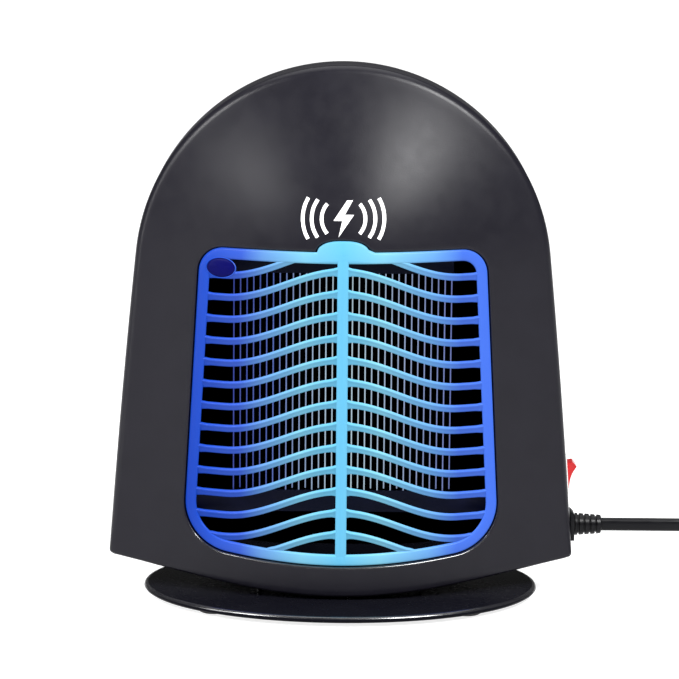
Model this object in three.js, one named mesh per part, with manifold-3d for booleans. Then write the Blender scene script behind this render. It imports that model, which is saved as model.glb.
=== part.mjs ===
// Electric bug zapper: a pillow-shaped housing in two shells on an oval foot, a hinged blue
// grille in front of a high-voltage wire grid, a blacklight lamp, a drawer for the catch,
// a rocker switch and a mains lead. Millimetres, +Z up, the grille faces -Y, and the origin
// is on the table under the middle of the foot.

import * as THREE from "three";
import { mergeVertices } from "three/addons/utils/BufferGeometryUtils.js";
import Module from "manifold-3d";

const wasm = await Module();
wasm.setup();

// ---------------------------------------------------------------- driving dimensions

// fits
const GAP = 0.3; // between pieces that touch
const GRILLE_GAP = 0.7; // around the grille in its opening
const SEAM_GAP = 1.0; // groove between the two shells
const SLIDE_GAP = 0.4; // around the drawer

// housing outline, seen from the front
const BODY_HALF_WIDTH = 120.4; // at the bottom corners
const BODY_TOP_Z = 275.5;
const ARCH_RADIUS = 107;
const SIDE_TANGENT = THREE.MathUtils.degToRad(6); // where the arch runs into the sides
const CORNER_Z = 21; // bottom edge at the corners
const KEEL_Z = 7; // bottom edge at the middle
const SHELL_WALL = 2.5;
const RIM_RADIUS = 3.5; // round edge beside the seam

// housing depth
const FRONT_LIP = 8;
const FRONT_BULGE = 35;
const REAR_LIP = 26;
const REAR_BULGE = 22;

// grille
const GRILLE_TOP_Z = 184;
const GRILLE_BOTTOM_Z = 23.4;
const GRILLE_HALF_TOP = 73.4;
const GRILLE_HALF_BOTTOM = 80;
const GRILLE_TOP_RADIUS = 13;
const GRILLE_CORNER_RADIUS = 25;
const GRILLE_SMILE_RADIUS = 420;
const GRILLE_BAND = 5.5;
const GRILLE_THICKNESS = 3;
const GRILLE_RECESS = 1; // its face lies behind the housing's
const BAR_HEIGHT = 3.7;
const BAR_PITCH = 11.26;
const BAR_RISE = 15.6; // how far a bar climbs from its ends to the rib
const BAR_COUNT = 14;
const BAR_REACH = 60; // a bar runs level beyond this far from the rib
const RIB_WIDTH = 5.6;
const TAB_HALF_FOOT = 13;
const TAB_HALF_TOP = 5.5;
const TAB_HEIGHT = 5.7;
const TONGUE_X = 30;
const TONGUE_WIDTH = 8;

// interlock: a capped peg on the grille that presses a microswitch
const INTERLOCK_X = -62;
const INTERLOCK_Z = 174;
const CAP_HALF_WIDTH = 7.2;
const CAP_HALF_HEIGHT = 4.9;
const PEG_RADIUS = 2.4;
const PLUNGER_RADIUS = 1.5;
const PLUNGER_TRAVEL = 1.5;
const SWITCH_BOX = [10, 16, 9];

// zapping chamber behind the opening
const LINER_WALL = 2;
const CHAMBER_FRONT_Y = -14;
const CHAMBER_BACK_Y = 18;

// high-voltage grid
const GRID_Y = -10;
const WIRE_COUNT = 34;
const WIRE_PITCH = 3.38;
const WIRE_RADIUS = 0.55;
const BUS_RADIUS = 0.7;
const LOWER_BUS_Z = 49.8;
const UPPER_BUS_Z = 179;
const WIRE_STOP = 7.2; // a wire ends this far from the other bus
const RAIL_HEIGHT = 3.4;
const RAIL_DEPTH = 7;
const LOW_LIP_Z = 56.6; // the lower rail's front edge screens the wires up to here
const HIGH_LIP_Z = 169.8; // and the upper rail's edge screens them from here on

// lamp
const LAMP_Y = 5;
const LAMP_TUBE_RADIUS = 6;
const LAMP_LEG_X = 12.5;
const LAMP_BEND_Z = 66;
const LAMP_CAP = [42, 15, 14];
const LAMP_SOCKET = [46, 17, 8];

// drawer
const TRAY_TOP_Z = 42;
const TRAY_FRONT_TOP_Z = 28;
const TRAY_WALL = 1.6;
const TRAY_FRONT_Y = -13;

// rocker switch, on the right-hand side
const ROCKER_Y = 14;
const ROCKER_Z = 61.5;
const BEZEL = [0.8, 14.6, 20];
const ROCKER_HALF_WIDTH = 5.2;
const ROCKER_ARC = 8.1;
const ROCKER_PIVOT_DEPTH = 1.1;
const ROCKER_APEX = THREE.MathUtils.degToRad(48);
const ROCKER_TILT = THREE.MathUtils.degToRad(22.5);
const ROCKER_BOX_DEPTH = 14;

// mains lead
const LEAD_Y = 14;
const LEAD_Z = 33.8;
const CORD_WIDTH = 6.9; // its height where it leaves the housing
const CORD_THICKNESS = 4.6;
const RELIEF_LENGTH = 14.1;
const RELIEF_FLANGE = [2.3, 13, 15.6];
const COIL_CENTRE = [248, -27.9];
const COIL_OUTER = 44.4;
const COIL_INNER = 25.6;
const COIL_HEIGHT = 13.8;

// foot
const FOOT_HALF_WIDTH = 102.4;
const FOOT_HALF_DEPTH = 76.9;
const FOOT_TOP_Z = 5.5;
const FOOT_UNDER_Z = 2;
const SADDLE_HALF_WIDTH = 62;
const SADDLE_HALF_DEPTH = 34;
const PAD_RADIUS = 8;

// board
const BOARD = [92, 1.6, 74];
const BOARD_Z = 122;
const STANDOFF = 3;

// screws
const SCREW_RADIUS = 1.5;
const SCREW_HEAD_RADIUS = 2.8;
const SCREW_HEAD = 2.2;
const BOSS_RADIUS = 4.2;

// ---------------------------------------------------------------- solids

function toSolid(geometry) {
  const bare = geometry.clone();
  bare.deleteAttribute("normal");
  bare.deleteAttribute("uv");
  const merged = mergeVertices(bare, 1e-5);
  return new wasm.Manifold(
    new wasm.Mesh({
      numProp: 3,
      vertProperties: new Float32Array(merged.attributes.position.array),
      triVerts: new Uint32Array(merged.index.array),
    }),
  );
}

function toGeometry(solid) {
  const mesh = solid.getMesh();
  const geometry = new THREE.BufferGeometry();
  geometry.setAttribute("position", new THREE.BufferAttribute(mesh.vertProperties, 3));
  geometry.setIndex(new THREE.BufferAttribute(mesh.triVerts, 1));
  const flat = geometry.toNonIndexed();
  flat.computeVertexNormals();
  return flat;
}

const join = (...solids) => solids.reduce((whole, solid) => whole.add(solid));
const cut = (solid, ...tools) => tools.reduce((left, tool) => left.subtract(tool), solid);

function box(x0, x1, y0, y1, z0, z1) {
  const geometry = new THREE.BoxGeometry(x1 - x0, y1 - y0, z1 - z0);
  return toSolid(geometry.translate((x0 + x1) / 2, (y0 + y1) / 2, (z0 + z1) / 2));
}

// a box of [x, y, z] sizes about a centre
function block([w, d, h], x, y, z) {
  return box(x - w / 2, x + w / 2, y - d / 2, y + d / 2, z - h / 2, z + h / 2);
}

// an outline in x and z, carried along y
function prismY(points, y0, y1) {
  const shape = new THREE.Shape(points.map(([x, z]) => new THREE.Vector2(x, z)));
  const geometry = new THREE.ExtrudeGeometry(shape, { depth: y1 - y0, bevelEnabled: false });
  return toSolid(geometry.rotateX(Math.PI / 2).translate(0, y1, 0));
}

// an outline in x and y, carried along z
function prismZ(points, z0, z1) {
  const shape = new THREE.Shape(points.map(([x, y]) => new THREE.Vector2(x, y)));
  const geometry = new THREE.ExtrudeGeometry(shape, { depth: z1 - z0, bevelEnabled: false });
  return toSolid(geometry.translate(0, 0, z0));
}

// a cylinder from one point to another
function rod(from, to, radius, sides = 16, endRadius = radius) {
  const a = new THREE.Vector3(...from);
  const b = new THREE.Vector3(...to);
  const geometry = new THREE.CylinderGeometry(endRadius, radius, a.distanceTo(b), sides);
  const turn = new THREE.Quaternion().setFromUnitVectors(
    new THREE.Vector3(0, 1, 0),
    b.clone().sub(a).normalize(),
  );
  geometry.applyQuaternion(turn).translate(...a.add(b).multiplyScalar(0.5).toArray());
  return toSolid(geometry);
}

// a profile of [radius, height] turned about z
function turned(profile, sides) {
  const points = profile.map(([r, z]) => new THREE.Vector2(r, z));
  return new THREE.LatheGeometry(points, sides).rotateX(Math.PI / 2);
}

function ellipse(a, b, steps) {
  return Array.from({ length: steps }, (_, i) => {
    const t = (i / steps) * 2 * Math.PI;
    return [a * Math.cos(t), b * Math.sin(t)];
  });
}

// joins four-cornered sections into a bar, or into a ring
function loft(sections, closed) {
  const positions = sections.flat(2);
  const count = sections.length;
  const index = [];
  const spans = closed ? count : count - 1;
  for (let i = 0; i < spans; i++) {
    const a = i * 4;
    const b = ((i + 1) % count) * 4;
    for (let k = 0; k < 4; k++) {
      const n = (k + 1) % 4;
      index.push(a + k, b + k, b + n, a + k, b + n, a + n);
    }
  }
  if (!closed) {
    const e = (count - 1) * 4;
    index.push(0, 1, 2, 0, 2, 3, e, e + 2, e + 1, e, e + 3, e + 2);
  }
  const geometry = new THREE.BufferGeometry();
  geometry.setAttribute("position", new THREE.Float32BufferAttribute(positions, 3));
  geometry.setIndex(index);
  return toSolid(geometry);
}

// ---------------------------------------------------------------- housing form

const ARCH_Z = BODY_TOP_Z - ARCH_RADIUS;

// half the outline's width below the arch, inset by a wall
function sideHalfWidth(z, inset = 0) {
  const tangentX = ARCH_RADIUS * Math.cos(SIDE_TANGENT);
  const tangentZ = ARCH_Z + ARCH_RADIUS * Math.sin(SIDE_TANGENT);
  const drop = tangentZ - z;
  const full = tangentZ - CORNER_Z;
  const slope = Math.tan(SIDE_TANGENT);
  const bend = (tangentX + slope * full - BODY_HALF_WIDTH) / full ** 2;
  return tangentX + slope * drop - bend * drop ** 2 - inset;
}

// the bottom edge, which sags towards the middle
function keel(x) {
  const t = Math.min(Math.abs(x) / BODY_HALF_WIDTH, 1) ** 2;
  return KEEL_Z + (CORNER_Z - KEEL_Z) * t * (1.3 - 0.3 * t);
}

// 0 on the middle line, 1 on the outline
function spread(x, z, inset = 0) {
  const radius = ARCH_RADIUS - inset;
  const rayZ = ARCH_Z + Math.abs(x) * Math.tan(SIDE_TANGENT);
  return z > rayZ ? Math.hypot(x, z - ARCH_Z) / radius : Math.abs(x) / sideHalfWidth(z, inset);
}

// the pillow section: full in the middle, flaring out flat to the rim
function crown(u) {
  const c = Math.cos((Math.PI / 2) * u);
  return 0.5 * (1 - u * u) + 0.5 * c * c;
}

// distance of the skin from the seam plane, with its rim rounded off
function skinDepth(u, lip, bulge, rimRadius) {
  const fromRim = (1 - u) * ARCH_RADIUS;
  const into = Math.max(0, rimRadius - fromRim);
  const roundOff = rimRadius - Math.sqrt(rimRadius ** 2 - into ** 2);
  return lip + bulge * crown(u) - roundOff;
}

const frontSkin = (x, z) =>
  -skinDepth(Math.min(spread(x, z), 1), FRONT_LIP, FRONT_BULGE, RIM_RADIUS);

// the housing's outline, inset by a wall, as points from the bottom right corner round
function bodyOutline(inset) {
  const points = [];
  const radius = ARCH_RADIUS - inset;
  const steps = 5;
  for (let i = 0; i < steps; i++) {
    const top = ARCH_Z + radius * Math.sin(SIDE_TANGENT);
    const z = keel(BODY_HALF_WIDTH) + inset + ((top - CORNER_Z - inset) * i) / steps;
    points.push([sideHalfWidth(z, inset), z]);
  }
  const arcSteps = 22;
  for (let i = 0; i <= arcSteps / 2; i++) {
    const angle = SIDE_TANGENT + ((Math.PI / 2 - SIDE_TANGENT) * i) / (arcSteps / 2);
    points.push([radius * Math.cos(angle), ARCH_Z + radius * Math.sin(angle)]);
  }
  const left = points
    .slice(0, -1)
    .map(([x, z]) => [-x, z])
    .reverse();
  const bottomSteps = 12;
  const halfBottom = points[0][0];
  const bottom = [];
  for (let i = 1; i < bottomSteps; i++) {
    const x = -halfBottom + (2 * halfBottom * i) / bottomSteps;
    bottom.push([x, keel(x) + inset]);
  }
  return [...points, ...left, ...bottom];
}

// a closed pillow: crowned skin on one side, flat at backY on the other
function pillow(lip, bulge, inset, backY, side) {
  const spreads = [0, 0.18, 0.36, 0.52, 0.67, 0.8, 0.9, 0.965, 1];
  const columns = [...spreads.slice(1).reverse().map((u) => -u), ...spreads];
  const last = columns.length - 1;
  const rows = 5;
  const radius = ARCH_RADIUS - inset;
  const rayTan = Math.tan(SIDE_TANGENT);
  const positions = [];
  const index = [];
  const skin = [];
  const add = (x, y, z) => positions.push(x, y, z) / 3 - 1;
  const rimRadius = inset > 0 ? 0 : RIM_RADIUS;
  const skinY = (u) => side * (skinDepth(Math.abs(u), lip, bulge, rimRadius) - inset);
  // sides: columns of equal spread from the bottom edge up to the rays of the arch
  for (let r = 0; r <= rows; r++) {
    skin.push(
      columns.map((u) => {
        let x = u * radius;
        let z = 0;
        for (let pass = 0; pass < 8; pass++) {
          const low = keel(x) + inset;
          const high = ARCH_Z + Math.abs(u) * radius * Math.sin(SIDE_TANGENT);
          z = low + ((high - low) * r) / rows;
          x = r === rows ? u * radius * Math.cos(SIDE_TANGENT) : u * sideHalfWidth(z, inset);
        }
        return add(x, skinY(u), z);
      }),
    );
  }
  const facet = (a, b, c, d) => {
    index.push(a, b, c, a, c, d);
  };
  for (let r = 0; r < rows; r++) {
    for (let i = 0; i < last; i++) {
      facet(skin[r][i], skin[r][i + 1], skin[r + 1][i + 1], skin[r + 1][i]);
    }
  }
  // arch: rings of equal spread about its centre
  const sweep = Math.PI - 2 * SIDE_TANGENT;
  const fan = 22;
  const zero = columns.indexOf(0);
  const ray = (k) => {
    if (k === 0) return skin[rows].slice(zero);
    if (k === fan) return skin[rows].slice(0, zero + 1).reverse();
    const angle = SIDE_TANGENT + (sweep * k) / fan;
    return spreads.map((u) => {
      if (u === 0) return skin[rows][zero];
      const r = u * radius;
      return add(r * Math.cos(angle), skinY(u), ARCH_Z + r * Math.sin(angle));
    });
  };
  const rays = Array.from({ length: fan + 1 }, (_, k) => ray(k));
  for (let k = 0; k < fan; k++) {
    index.push(rays[k][0], rays[k][1], rays[k + 1][1]);
    for (let i = 1; i < spreads.length - 1; i++) {
      facet(rays[k][i], rays[k][i + 1], rays[k + 1][i + 1], rays[k + 1][i]);
    }
  }
  // rim: the boundary carried to the flat side, and the flat side itself
  const rim = [
    ...skin[0],
    ...skin.slice(1).map((row) => row[last]),
    ...rays.slice(1).map((line) => line.at(-1)),
    ...skin.slice(1, rows).map((row) => row[0]).reverse(),
  ];
  const flat = rim.map((v) => add(positions[v * 3], backY, positions[v * 3 + 2]));
  rim.forEach((v, i) => {
    const n = (i + 1) % rim.length;
    facet(rim[n], v, flat[i], flat[n]);
  });
  const outline = flat.map((v) => new THREE.Vector2(positions[v * 3], positions[v * 3 + 2]));
  for (const [a, b, c] of THREE.ShapeUtils.triangulateShape(outline, [])) {
    index.push(flat[c], flat[b], flat[a]);
  }
  if (side > 0) index.reverse();
  const geometry = new THREE.BufferGeometry();
  geometry.setAttribute("position", new THREE.Float32BufferAttribute(positions, 3));
  geometry.setIndex(index);
  return toSolid(geometry);
}

const FRONT = -1;
const REAR = 1;

// ---------------------------------------------------------------- grille form

const GRILLE_CORNER_Z =
  GRILLE_BOTTOM_Z +
  GRILLE_SMILE_RADIUS -
  Math.sqrt(
    (GRILLE_SMILE_RADIUS - GRILLE_CORNER_RADIUS) ** 2 -
      (GRILLE_HALF_BOTTOM - GRILLE_CORNER_RADIUS) ** 2,
  );
const GRILLE_LEAN = Math.atan(
  (GRILLE_HALF_BOTTOM - GRILLE_HALF_TOP) / (GRILLE_TOP_Z - GRILLE_TOP_RADIUS - GRILLE_CORNER_Z),
);

function arc(cx, cz, radius, from, to, steps) {
  return Array.from({ length: steps + 1 }, (_, i) => {
    const angle = from + ((to - from) * i) / steps;
    return [cx + radius * Math.cos(angle), cz + radius * Math.sin(angle)];
  });
}

// the grille's edge, moved outwards by an offset, from the middle of its bottom round
function grilleOutline(offset, withTab = false) {
  const smileAngle = Math.asin(
    (GRILLE_HALF_BOTTOM - GRILLE_CORNER_RADIUS) / (GRILLE_SMILE_RADIUS - GRILLE_CORNER_RADIUS),
  );
  const down = -Math.PI / 2;
  const smileZ = GRILLE_BOTTOM_Z + GRILLE_SMILE_RADIUS;
  const cornerX = GRILLE_HALF_BOTTOM - GRILLE_CORNER_RADIUS;
  const topX = GRILLE_HALF_TOP - GRILLE_TOP_RADIUS;
  const topZ = GRILLE_TOP_Z - GRILLE_TOP_RADIUS;
  const side = 5;
  const right = [
    ...arc(0, smileZ, GRILLE_SMILE_RADIUS + offset, down, down + smileAngle, 6),
    ...arc(
      cornerX,
      GRILLE_CORNER_Z,
      GRILLE_CORNER_RADIUS + offset,
      down + smileAngle,
      GRILLE_LEAN,
      8,
    ).slice(1),
  ];
  const [sideX, sideZ] = right.at(-1);
  const corner = arc(topX, topZ, GRILLE_TOP_RADIUS + offset, GRILLE_LEAN, Math.PI / 2, 6);
  for (let i = 1; i < side; i++) {
    const t = i / side;
    right.push([sideX + (corner[0][0] - sideX) * t, sideZ + (corner[0][1] - sideZ) * t]);
  }
  right.push(...corner);
  const top = GRILLE_TOP_Z + offset;
  const topSteps = [0.84, 0.68, 0.52, 0.36];
  right.push(...topSteps.map((t) => [topX * t, top]));
  if (withTab) {
    right.push([TAB_HALF_FOOT + offset, top], [TAB_HALF_TOP + offset, top + TAB_HEIGHT]);
  } else {
    right.push([TAB_HALF_FOOT * 0.8, top], [0, top]);
  }
  const left = right
    .slice(1, withTab ? undefined : -1)
    .map(([x, z]) => [-x, z])
    .reverse();
  return [...right, ...left];
}

// middle height of a bar, counted from the one that merges with the top band
function barZ(n, x) {
  const t = Math.min(Math.abs(x) / BAR_REACH, 1);
  const top = GRILLE_TOP_Z + 1.66 - BAR_PITCH * n;
  return top - (BAR_RISE / 2) * (1 - Math.cos(Math.PI * t));
}

const grilleFace = (x, z) => frontSkin(x, z) + GRILLE_RECESS;
const grilleBack = (x, z) => grilleFace(x, z) + GRILLE_THICKNESS;

function grilleSolid() {
  const outer = grilleOutline(0);
  const inner = grilleOutline(-GRILLE_BAND);
  const frame = loft(
    outer.map(([x, z], i) => {
      const [u, w] = inner[i];
      return [
        [x, grilleFace(x, z), z],
        [u, grilleFace(u, w), w],
        [u, grilleBack(u, w), w],
        [x, grilleBack(x, z), z],
      ];
    }),
    true,
  );
  const inset = 0.25; // bars are a little thinner than the frame
  const strip = (x, low, high) => [
    [x, grilleFace(x, high) + inset, high],
    [x, grilleBack(x, high) - inset, high],
    [x, grilleBack(x, low) - inset, low],
    [x, grilleFace(x, low) + inset, low],
  ];
  const barSteps = 14;
  const bars = Array.from({ length: BAR_COUNT }, (_, n) =>
    loft(
      Array.from({ length: barSteps + 1 }, (_, i) => {
        const x = -GRILLE_HALF_BOTTOM + (2 * GRILLE_HALF_BOTTOM * i) / barSteps;
        const z = barZ(n, x);
        return strip(x, z - BAR_HEIGHT / 2, z + BAR_HEIGHT / 2);
      }),
      false,
    ),
  );
  const ribZ = [GRILLE_BOTTOM_Z + 1, ARCH_Z, GRILLE_TOP_Z - 8, GRILLE_TOP_Z - 1];
  const rib = loft(
    ribZ.map((z) => [
      [-RIB_WIDTH / 2, grilleFace(0, z), z],
      [-RIB_WIDTH / 2, grilleBack(0, z), z],
      [RIB_WIDTH / 2, grilleBack(0, z), z],
      [RIB_WIDTH / 2, grilleFace(0, z), z],
    ]),
    false,
  );
  const inside = prismY(grilleOutline(-1), -100, 0);
  const tab = prismY(
    [
      [-TAB_HALF_FOOT, GRILLE_TOP_Z - 1],
      [TAB_HALF_FOOT, GRILLE_TOP_Z - 1],
      [TAB_HALF_FOOT, GRILLE_TOP_Z + 0.5],
      [TAB_HALF_TOP, GRILLE_TOP_Z + TAB_HEIGHT],
      [-TAB_HALF_TOP, GRILLE_TOP_Z + TAB_HEIGHT],
      [-TAB_HALF_FOOT, GRILLE_TOP_Z + 0.5],
    ],
    frontSkin(0, GRILLE_TOP_Z) - 0.8,
    grilleBack(TAB_HALF_FOOT, GRILLE_TOP_Z),
  );
  const tongues = [-1, 1].map((s) => tongue(s * TONGUE_X));
  const pad = prismY(capOutline(1), -100, 0).intersect(
    skinLayer(GRILLE_RECESS + 0.1, GRILLE_RECESS + GRILLE_THICKNESS - 0.1),
  );
  const body = join(frame, rib, tab, pad, ...tongues, ...bars.map((b) => b.intersect(inside)));
  return cut(body, rod(pegAt(-80), pegAt(0), PEG_RADIUS + GAP, 16));
}

// a tongue behind the opening's lower edge, which the grille tips about
function tongue(x) {
  const y = frontSkin(x, GRILLE_BOTTOM_Z) + SHELL_WALL + SLIDE_GAP;
  const half = TONGUE_WIDTH / 2;
  return box(x - half, x + half, y, y + 2.1, GRILLE_BOTTOM_Z - 2.8, GRILLE_BOTTOM_Z + 4);
}

function capOutline(offset) {
  return ellipse(CAP_HALF_WIDTH + offset, CAP_HALF_HEIGHT + offset, 24).map(([x, z]) => [
    x + INTERLOCK_X,
    z + INTERLOCK_Z,
  ]);
}

const pegAt = (y) => [INTERLOCK_X, y, INTERLOCK_Z];

// the housing's skin between two depths
function skinLayer(near, far) {
  const skin = pillow(FRONT_LIP, FRONT_BULGE, 0, 0, FRONT);
  return cut(skin.translate(0, near, 0), skin.translate(0, far, 0));
}

// ---------------------------------------------------------------- shells

const SHELL_SCREWS = [
  [-99, 96],
  [99, 96],
  [-82, 212],
  [82, 212],
  [0, BODY_TOP_Z - 17.5],
];
const FOOT_SCREWS = [
  [-42, -18],
  [42, -18],
  [-42, 18],
  [42, 18],
];
const SCREW_SEAT_Y = 12;
const SCREW_REACH = 20;
const OPENING_RING = GRILLE_GAP + LINER_WALL;

function footBosses(side) {
  return FOOT_SCREWS.filter(([, y]) => y * side > 0).map(([x, y]) =>
    rod([x, y, 0], [x, y, keel(x) + 11], BOSS_RADIUS),
  );
}

function footBores(side) {
  return FOOT_SCREWS.filter(([, y]) => y * side > 0).map(([x, y]) =>
    rod([x, y, 0], [x, y, keel(x) + 9], SCREW_RADIUS + GAP),
  );
}

function frontShell() {
  const outer = pillow(FRONT_LIP, FRONT_BULGE, 0, 0, FRONT);
  const inner = pillow(FRONT_LIP, FRONT_BULGE, SHELL_WALL, 8, FRONT);
  const ring = prismY(grilleOutline(OPENING_RING), -100, CHAMBER_FRONT_Y - GAP);
  const bosses = SHELL_SCREWS.map(([x, z]) => rod([x, -60, z], [x, 8, z], BOSS_RADIUS, 12));
  const hollow = cut(inner, ring, ...bosses, ...footBosses(FRONT));
  const opening = prismY(grilleOutline(GRILLE_GAP, true), -100, 10);
  const boreEnd = SCREW_SEAT_Y - SCREW_REACH - 1;
  const bores = SHELL_SCREWS.map(([x, z]) => rod([x, boreEnd, z], [x, 8, z], SCREW_RADIUS + GAP, 10));
  const notches = [-1, 1].map((s) => {
    const x = s * TONGUE_X;
    const y = frontSkin(x, GRILLE_BOTTOM_Z) + SHELL_WALL;
    const half = TONGUE_WIDTH / 2 + 1;
    return box(x - half, x + half, y, y + 5.5, GRILLE_BOTTOM_Z - 7, GRILLE_BOTTOM_Z + 1);
  });
  return cut(outer, hollow, opening, ...notches, ...bores, ...footBores(FRONT));
}

function rearShell() {
  const outer = pillow(REAR_LIP, REAR_BULGE, 0, SEAM_GAP, REAR);
  const inner = pillow(REAR_LIP, REAR_BULGE, SHELL_WALL, -8, REAR);
  const bosses = SHELL_SCREWS.map(([x, z]) => rod([x, -8, z], [x, 60, z], BOSS_RADIUS + 0.6, 12));
  const hollow = cut(inner, ...bosses, ...footBosses(REAR));
  const shell = cut(outer, hollow);
  const tongueRing = cut(
    prismY(bodyOutline(SHELL_WALL + SLIDE_GAP), -3, 4),
    prismY(bodyOutline(SHELL_WALL + SLIDE_GAP + 1.4), -5, 6),
  );
  const weld = cut(
    prismY(bodyOutline(SHELL_WALL - 0.5), SEAM_GAP, 4),
    prismY(bodyOutline(SHELL_WALL + SLIDE_GAP + 1.4), 0, 6),
  );
  const bores = SHELL_SCREWS.flatMap(([x, z]) => [
    rod([x, -8, z], [x, SCREW_SEAT_Y + 1, z], SCREW_RADIUS + GAP),
    rod([x, SCREW_SEAT_Y, z], [x, 80, z], SCREW_HEAD_RADIUS + GAP),
  ]);
  const slots = VENTS.map(([z, half]) => box(-half, half, 20, 80, z - 1.8, z + 1.8));
  const drawerSlot = prismY(grilleOutline(GRILLE_GAP), 20, 80).intersect(
    box(-200, 200, 0, 100, -10, TRAY_TOP_Z + SLIDE_GAP),
  );
  return cut(
    join(shell, tongueRing, weld),
    drawerSlot,
    moved(rockerCutout(), rockerPlace()),
    rod(
      [BODY_HALF_WIDTH - 20, LEAD_Y, LEAD_Z],
      [BODY_HALF_WIDTH + 10, LEAD_Y, LEAD_Z],
      RELIEF_NECK + GAP,
    ),
    ...slots,
    ...bores,
    ...footBores(REAR),
  );
}

// heights and half lengths of the cooling slots in the back
const VENTS = Array.from({ length: 9 }, (_, i) => {
  const fromMiddle = i - 4;
  return [BOARD_Z + fromMiddle * 9, 34 - fromMiddle ** 2 * 0.9];
});

// ---------------------------------------------------------------- foot

function footSolid() {
  const w = FOOT_HALF_WIDTH;
  const disc = turned(
    [
      [0, FOOT_UNDER_Z],
      [w - 2.5, FOOT_UNDER_Z],
      [w, FOOT_UNDER_Z + 1.2],
      [w, FOOT_TOP_Z - 0.8],
      [w - 1, FOOT_TOP_Z],
      [0, FOOT_TOP_Z],
    ],
    48,
  ).scale(1, FOOT_HALF_DEPTH / w, 1);
  const saddle = prismZ(ellipse(SADDLE_HALF_WIDTH, SADDLE_HALF_DEPTH, 28), FOOT_TOP_Z - 1, 40);
  const steps = 14;
  const over = Array.from({ length: steps + 1 }, (_, i) => {
    const x = SADDLE_HALF_WIDTH * 1.2 * (1 - (2 * i) / steps);
    return [x, keel(x) - GAP];
  });
  const above = prismY(
    [...over, [-SADDLE_HALF_WIDTH * 1.2, 60], [SADDLE_HALF_WIDTH * 1.2, 60]],
    -100,
    100,
  );
  const holes = FOOT_SCREWS.flatMap(([x, y]) => [
    rod([x, y, 0], [x, y, 30], SCREW_RADIUS + GAP),
    rod([x, y, 0], [x, y, FOOT_UNDER_Z + SCREW_HEAD + GAP], SCREW_HEAD_RADIUS + GAP),
  ]);
  const seats = PADS.map(([x, y]) => rod([x, y, 0], [x, y, PAD_TOP_Z + GAP], PAD_RADIUS + GAP, 24));
  return cut(join(toSolid(disc), cut(saddle, above)), ...holes, ...seats);
}

const PADS = [
  [-64, -44],
  [64, -44],
  [-64, 44],
  [64, 44],
];
const PAD_TOP_Z = 3.2;

// ---------------------------------------------------------------- chamber and grid

const BACK_WALL_Y = CHAMBER_BACK_Y - LINER_WALL;

function chamberSolid() {
  const outer = prismY(grilleOutline(OPENING_RING), CHAMBER_FRONT_Y, CHAMBER_BACK_Y);
  const inner = prismY(grilleOutline(GRILLE_GAP), CHAMBER_FRONT_Y - 5, BACK_WALL_Y);
  const drawerHole = prismY(grilleOutline(GRILLE_GAP), 0, 30).intersect(
    box(-200, 200, 0, 40, -10, TRAY_TOP_Z + SLIDE_GAP),
  );
  const standoffs = BOARD_CORNERS.map(([x, z]) =>
    rod([x, BACK_WALL_Y + 1, z], [x, CHAMBER_BACK_Y + STANDOFF, z], 3.2),
  );
  const bores = BOARD_CORNERS.map(([x, z]) =>
    rod([x, CHAMBER_BACK_Y + 0.3, z], [x, 30, z], BOARD_SCREW_RADIUS + GAP),
  );
  const [w, , h] = SWITCH_BOX;
  const shelf = box(
    INTERLOCK_X - w / 2 + 1,
    INTERLOCK_X + w / 2 - 1,
    SWITCH_FRONT_Y + SWITCH_BOX[1] + GAP,
    BACK_WALL_Y + 1,
    INTERLOCK_Z - h / 2 + 0.5,
    INTERLOCK_Z + h / 2 - 0.5,
  );
  return cut(join(cut(outer, inner), shelf, ...standoffs), drawerHole, ...bores);
}

const SWITCH_FRONT_Y = -12;

function interlockSwitch() {
  const [w, d, h] = SWITCH_BOX;
  const body = block([w, d, h], INTERLOCK_X, SWITCH_FRONT_Y + d / 2, INTERLOCK_Z);
  const bore = rod(pegAt(SWITCH_FRONT_Y - 1), pegAt(SWITCH_FRONT_Y + 8), PLUNGER_RADIUS + GAP, 16);
  return cut(body, bore);
}

// wires from one bus towards the other, every second one of the grid
function comb(first, busZ, endZ) {
  const edge = ((WIRE_COUNT - 1) / 2) * WIRE_PITCH;
  const bus = rod([-edge - 0.7, GRID_Y, busZ], [edge + 0.7, GRID_Y, busZ], BUS_RADIUS, 8);
  const wires = [];
  for (let i = first; i < WIRE_COUNT; i += 2) {
    const x = -edge + i * WIRE_PITCH;
    wires.push(rod([x, GRID_Y, busZ], [x, GRID_Y, endZ], WIRE_RADIUS, 6));
  }
  return join(bus, ...wires);
}

// the strip that holds one end of the grid, with a thin front edge that hides the bus
function rail(lowZ, lipLowZ, lipHighZ, lipReach) {
  const depth = RAIL_DEPTH / 2;
  const front = GRID_Y - depth;
  const strip = box(-200, 200, front, GRID_Y + depth, lowZ, lowZ + RAIL_HEIGHT);
  const lip = box(-lipReach, lipReach, front, front + 1.4, lipLowZ, lipHighZ);
  return join(strip, lip).intersect(prismY(grilleOutline(GRILLE_GAP - GAP), -60, 60));
}

// ---------------------------------------------------------------- lamp

const LAMP_TOP_Z = GRILLE_TOP_Z + GRILLE_GAP - GAP;
const LAMP_CAP_TOP_Z = LAMP_TOP_Z - LAMP_SOCKET[2] - GAP;
const LAMP_CAP_LOW_Z = LAMP_CAP_TOP_Z - LAMP_CAP[2];

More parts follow.
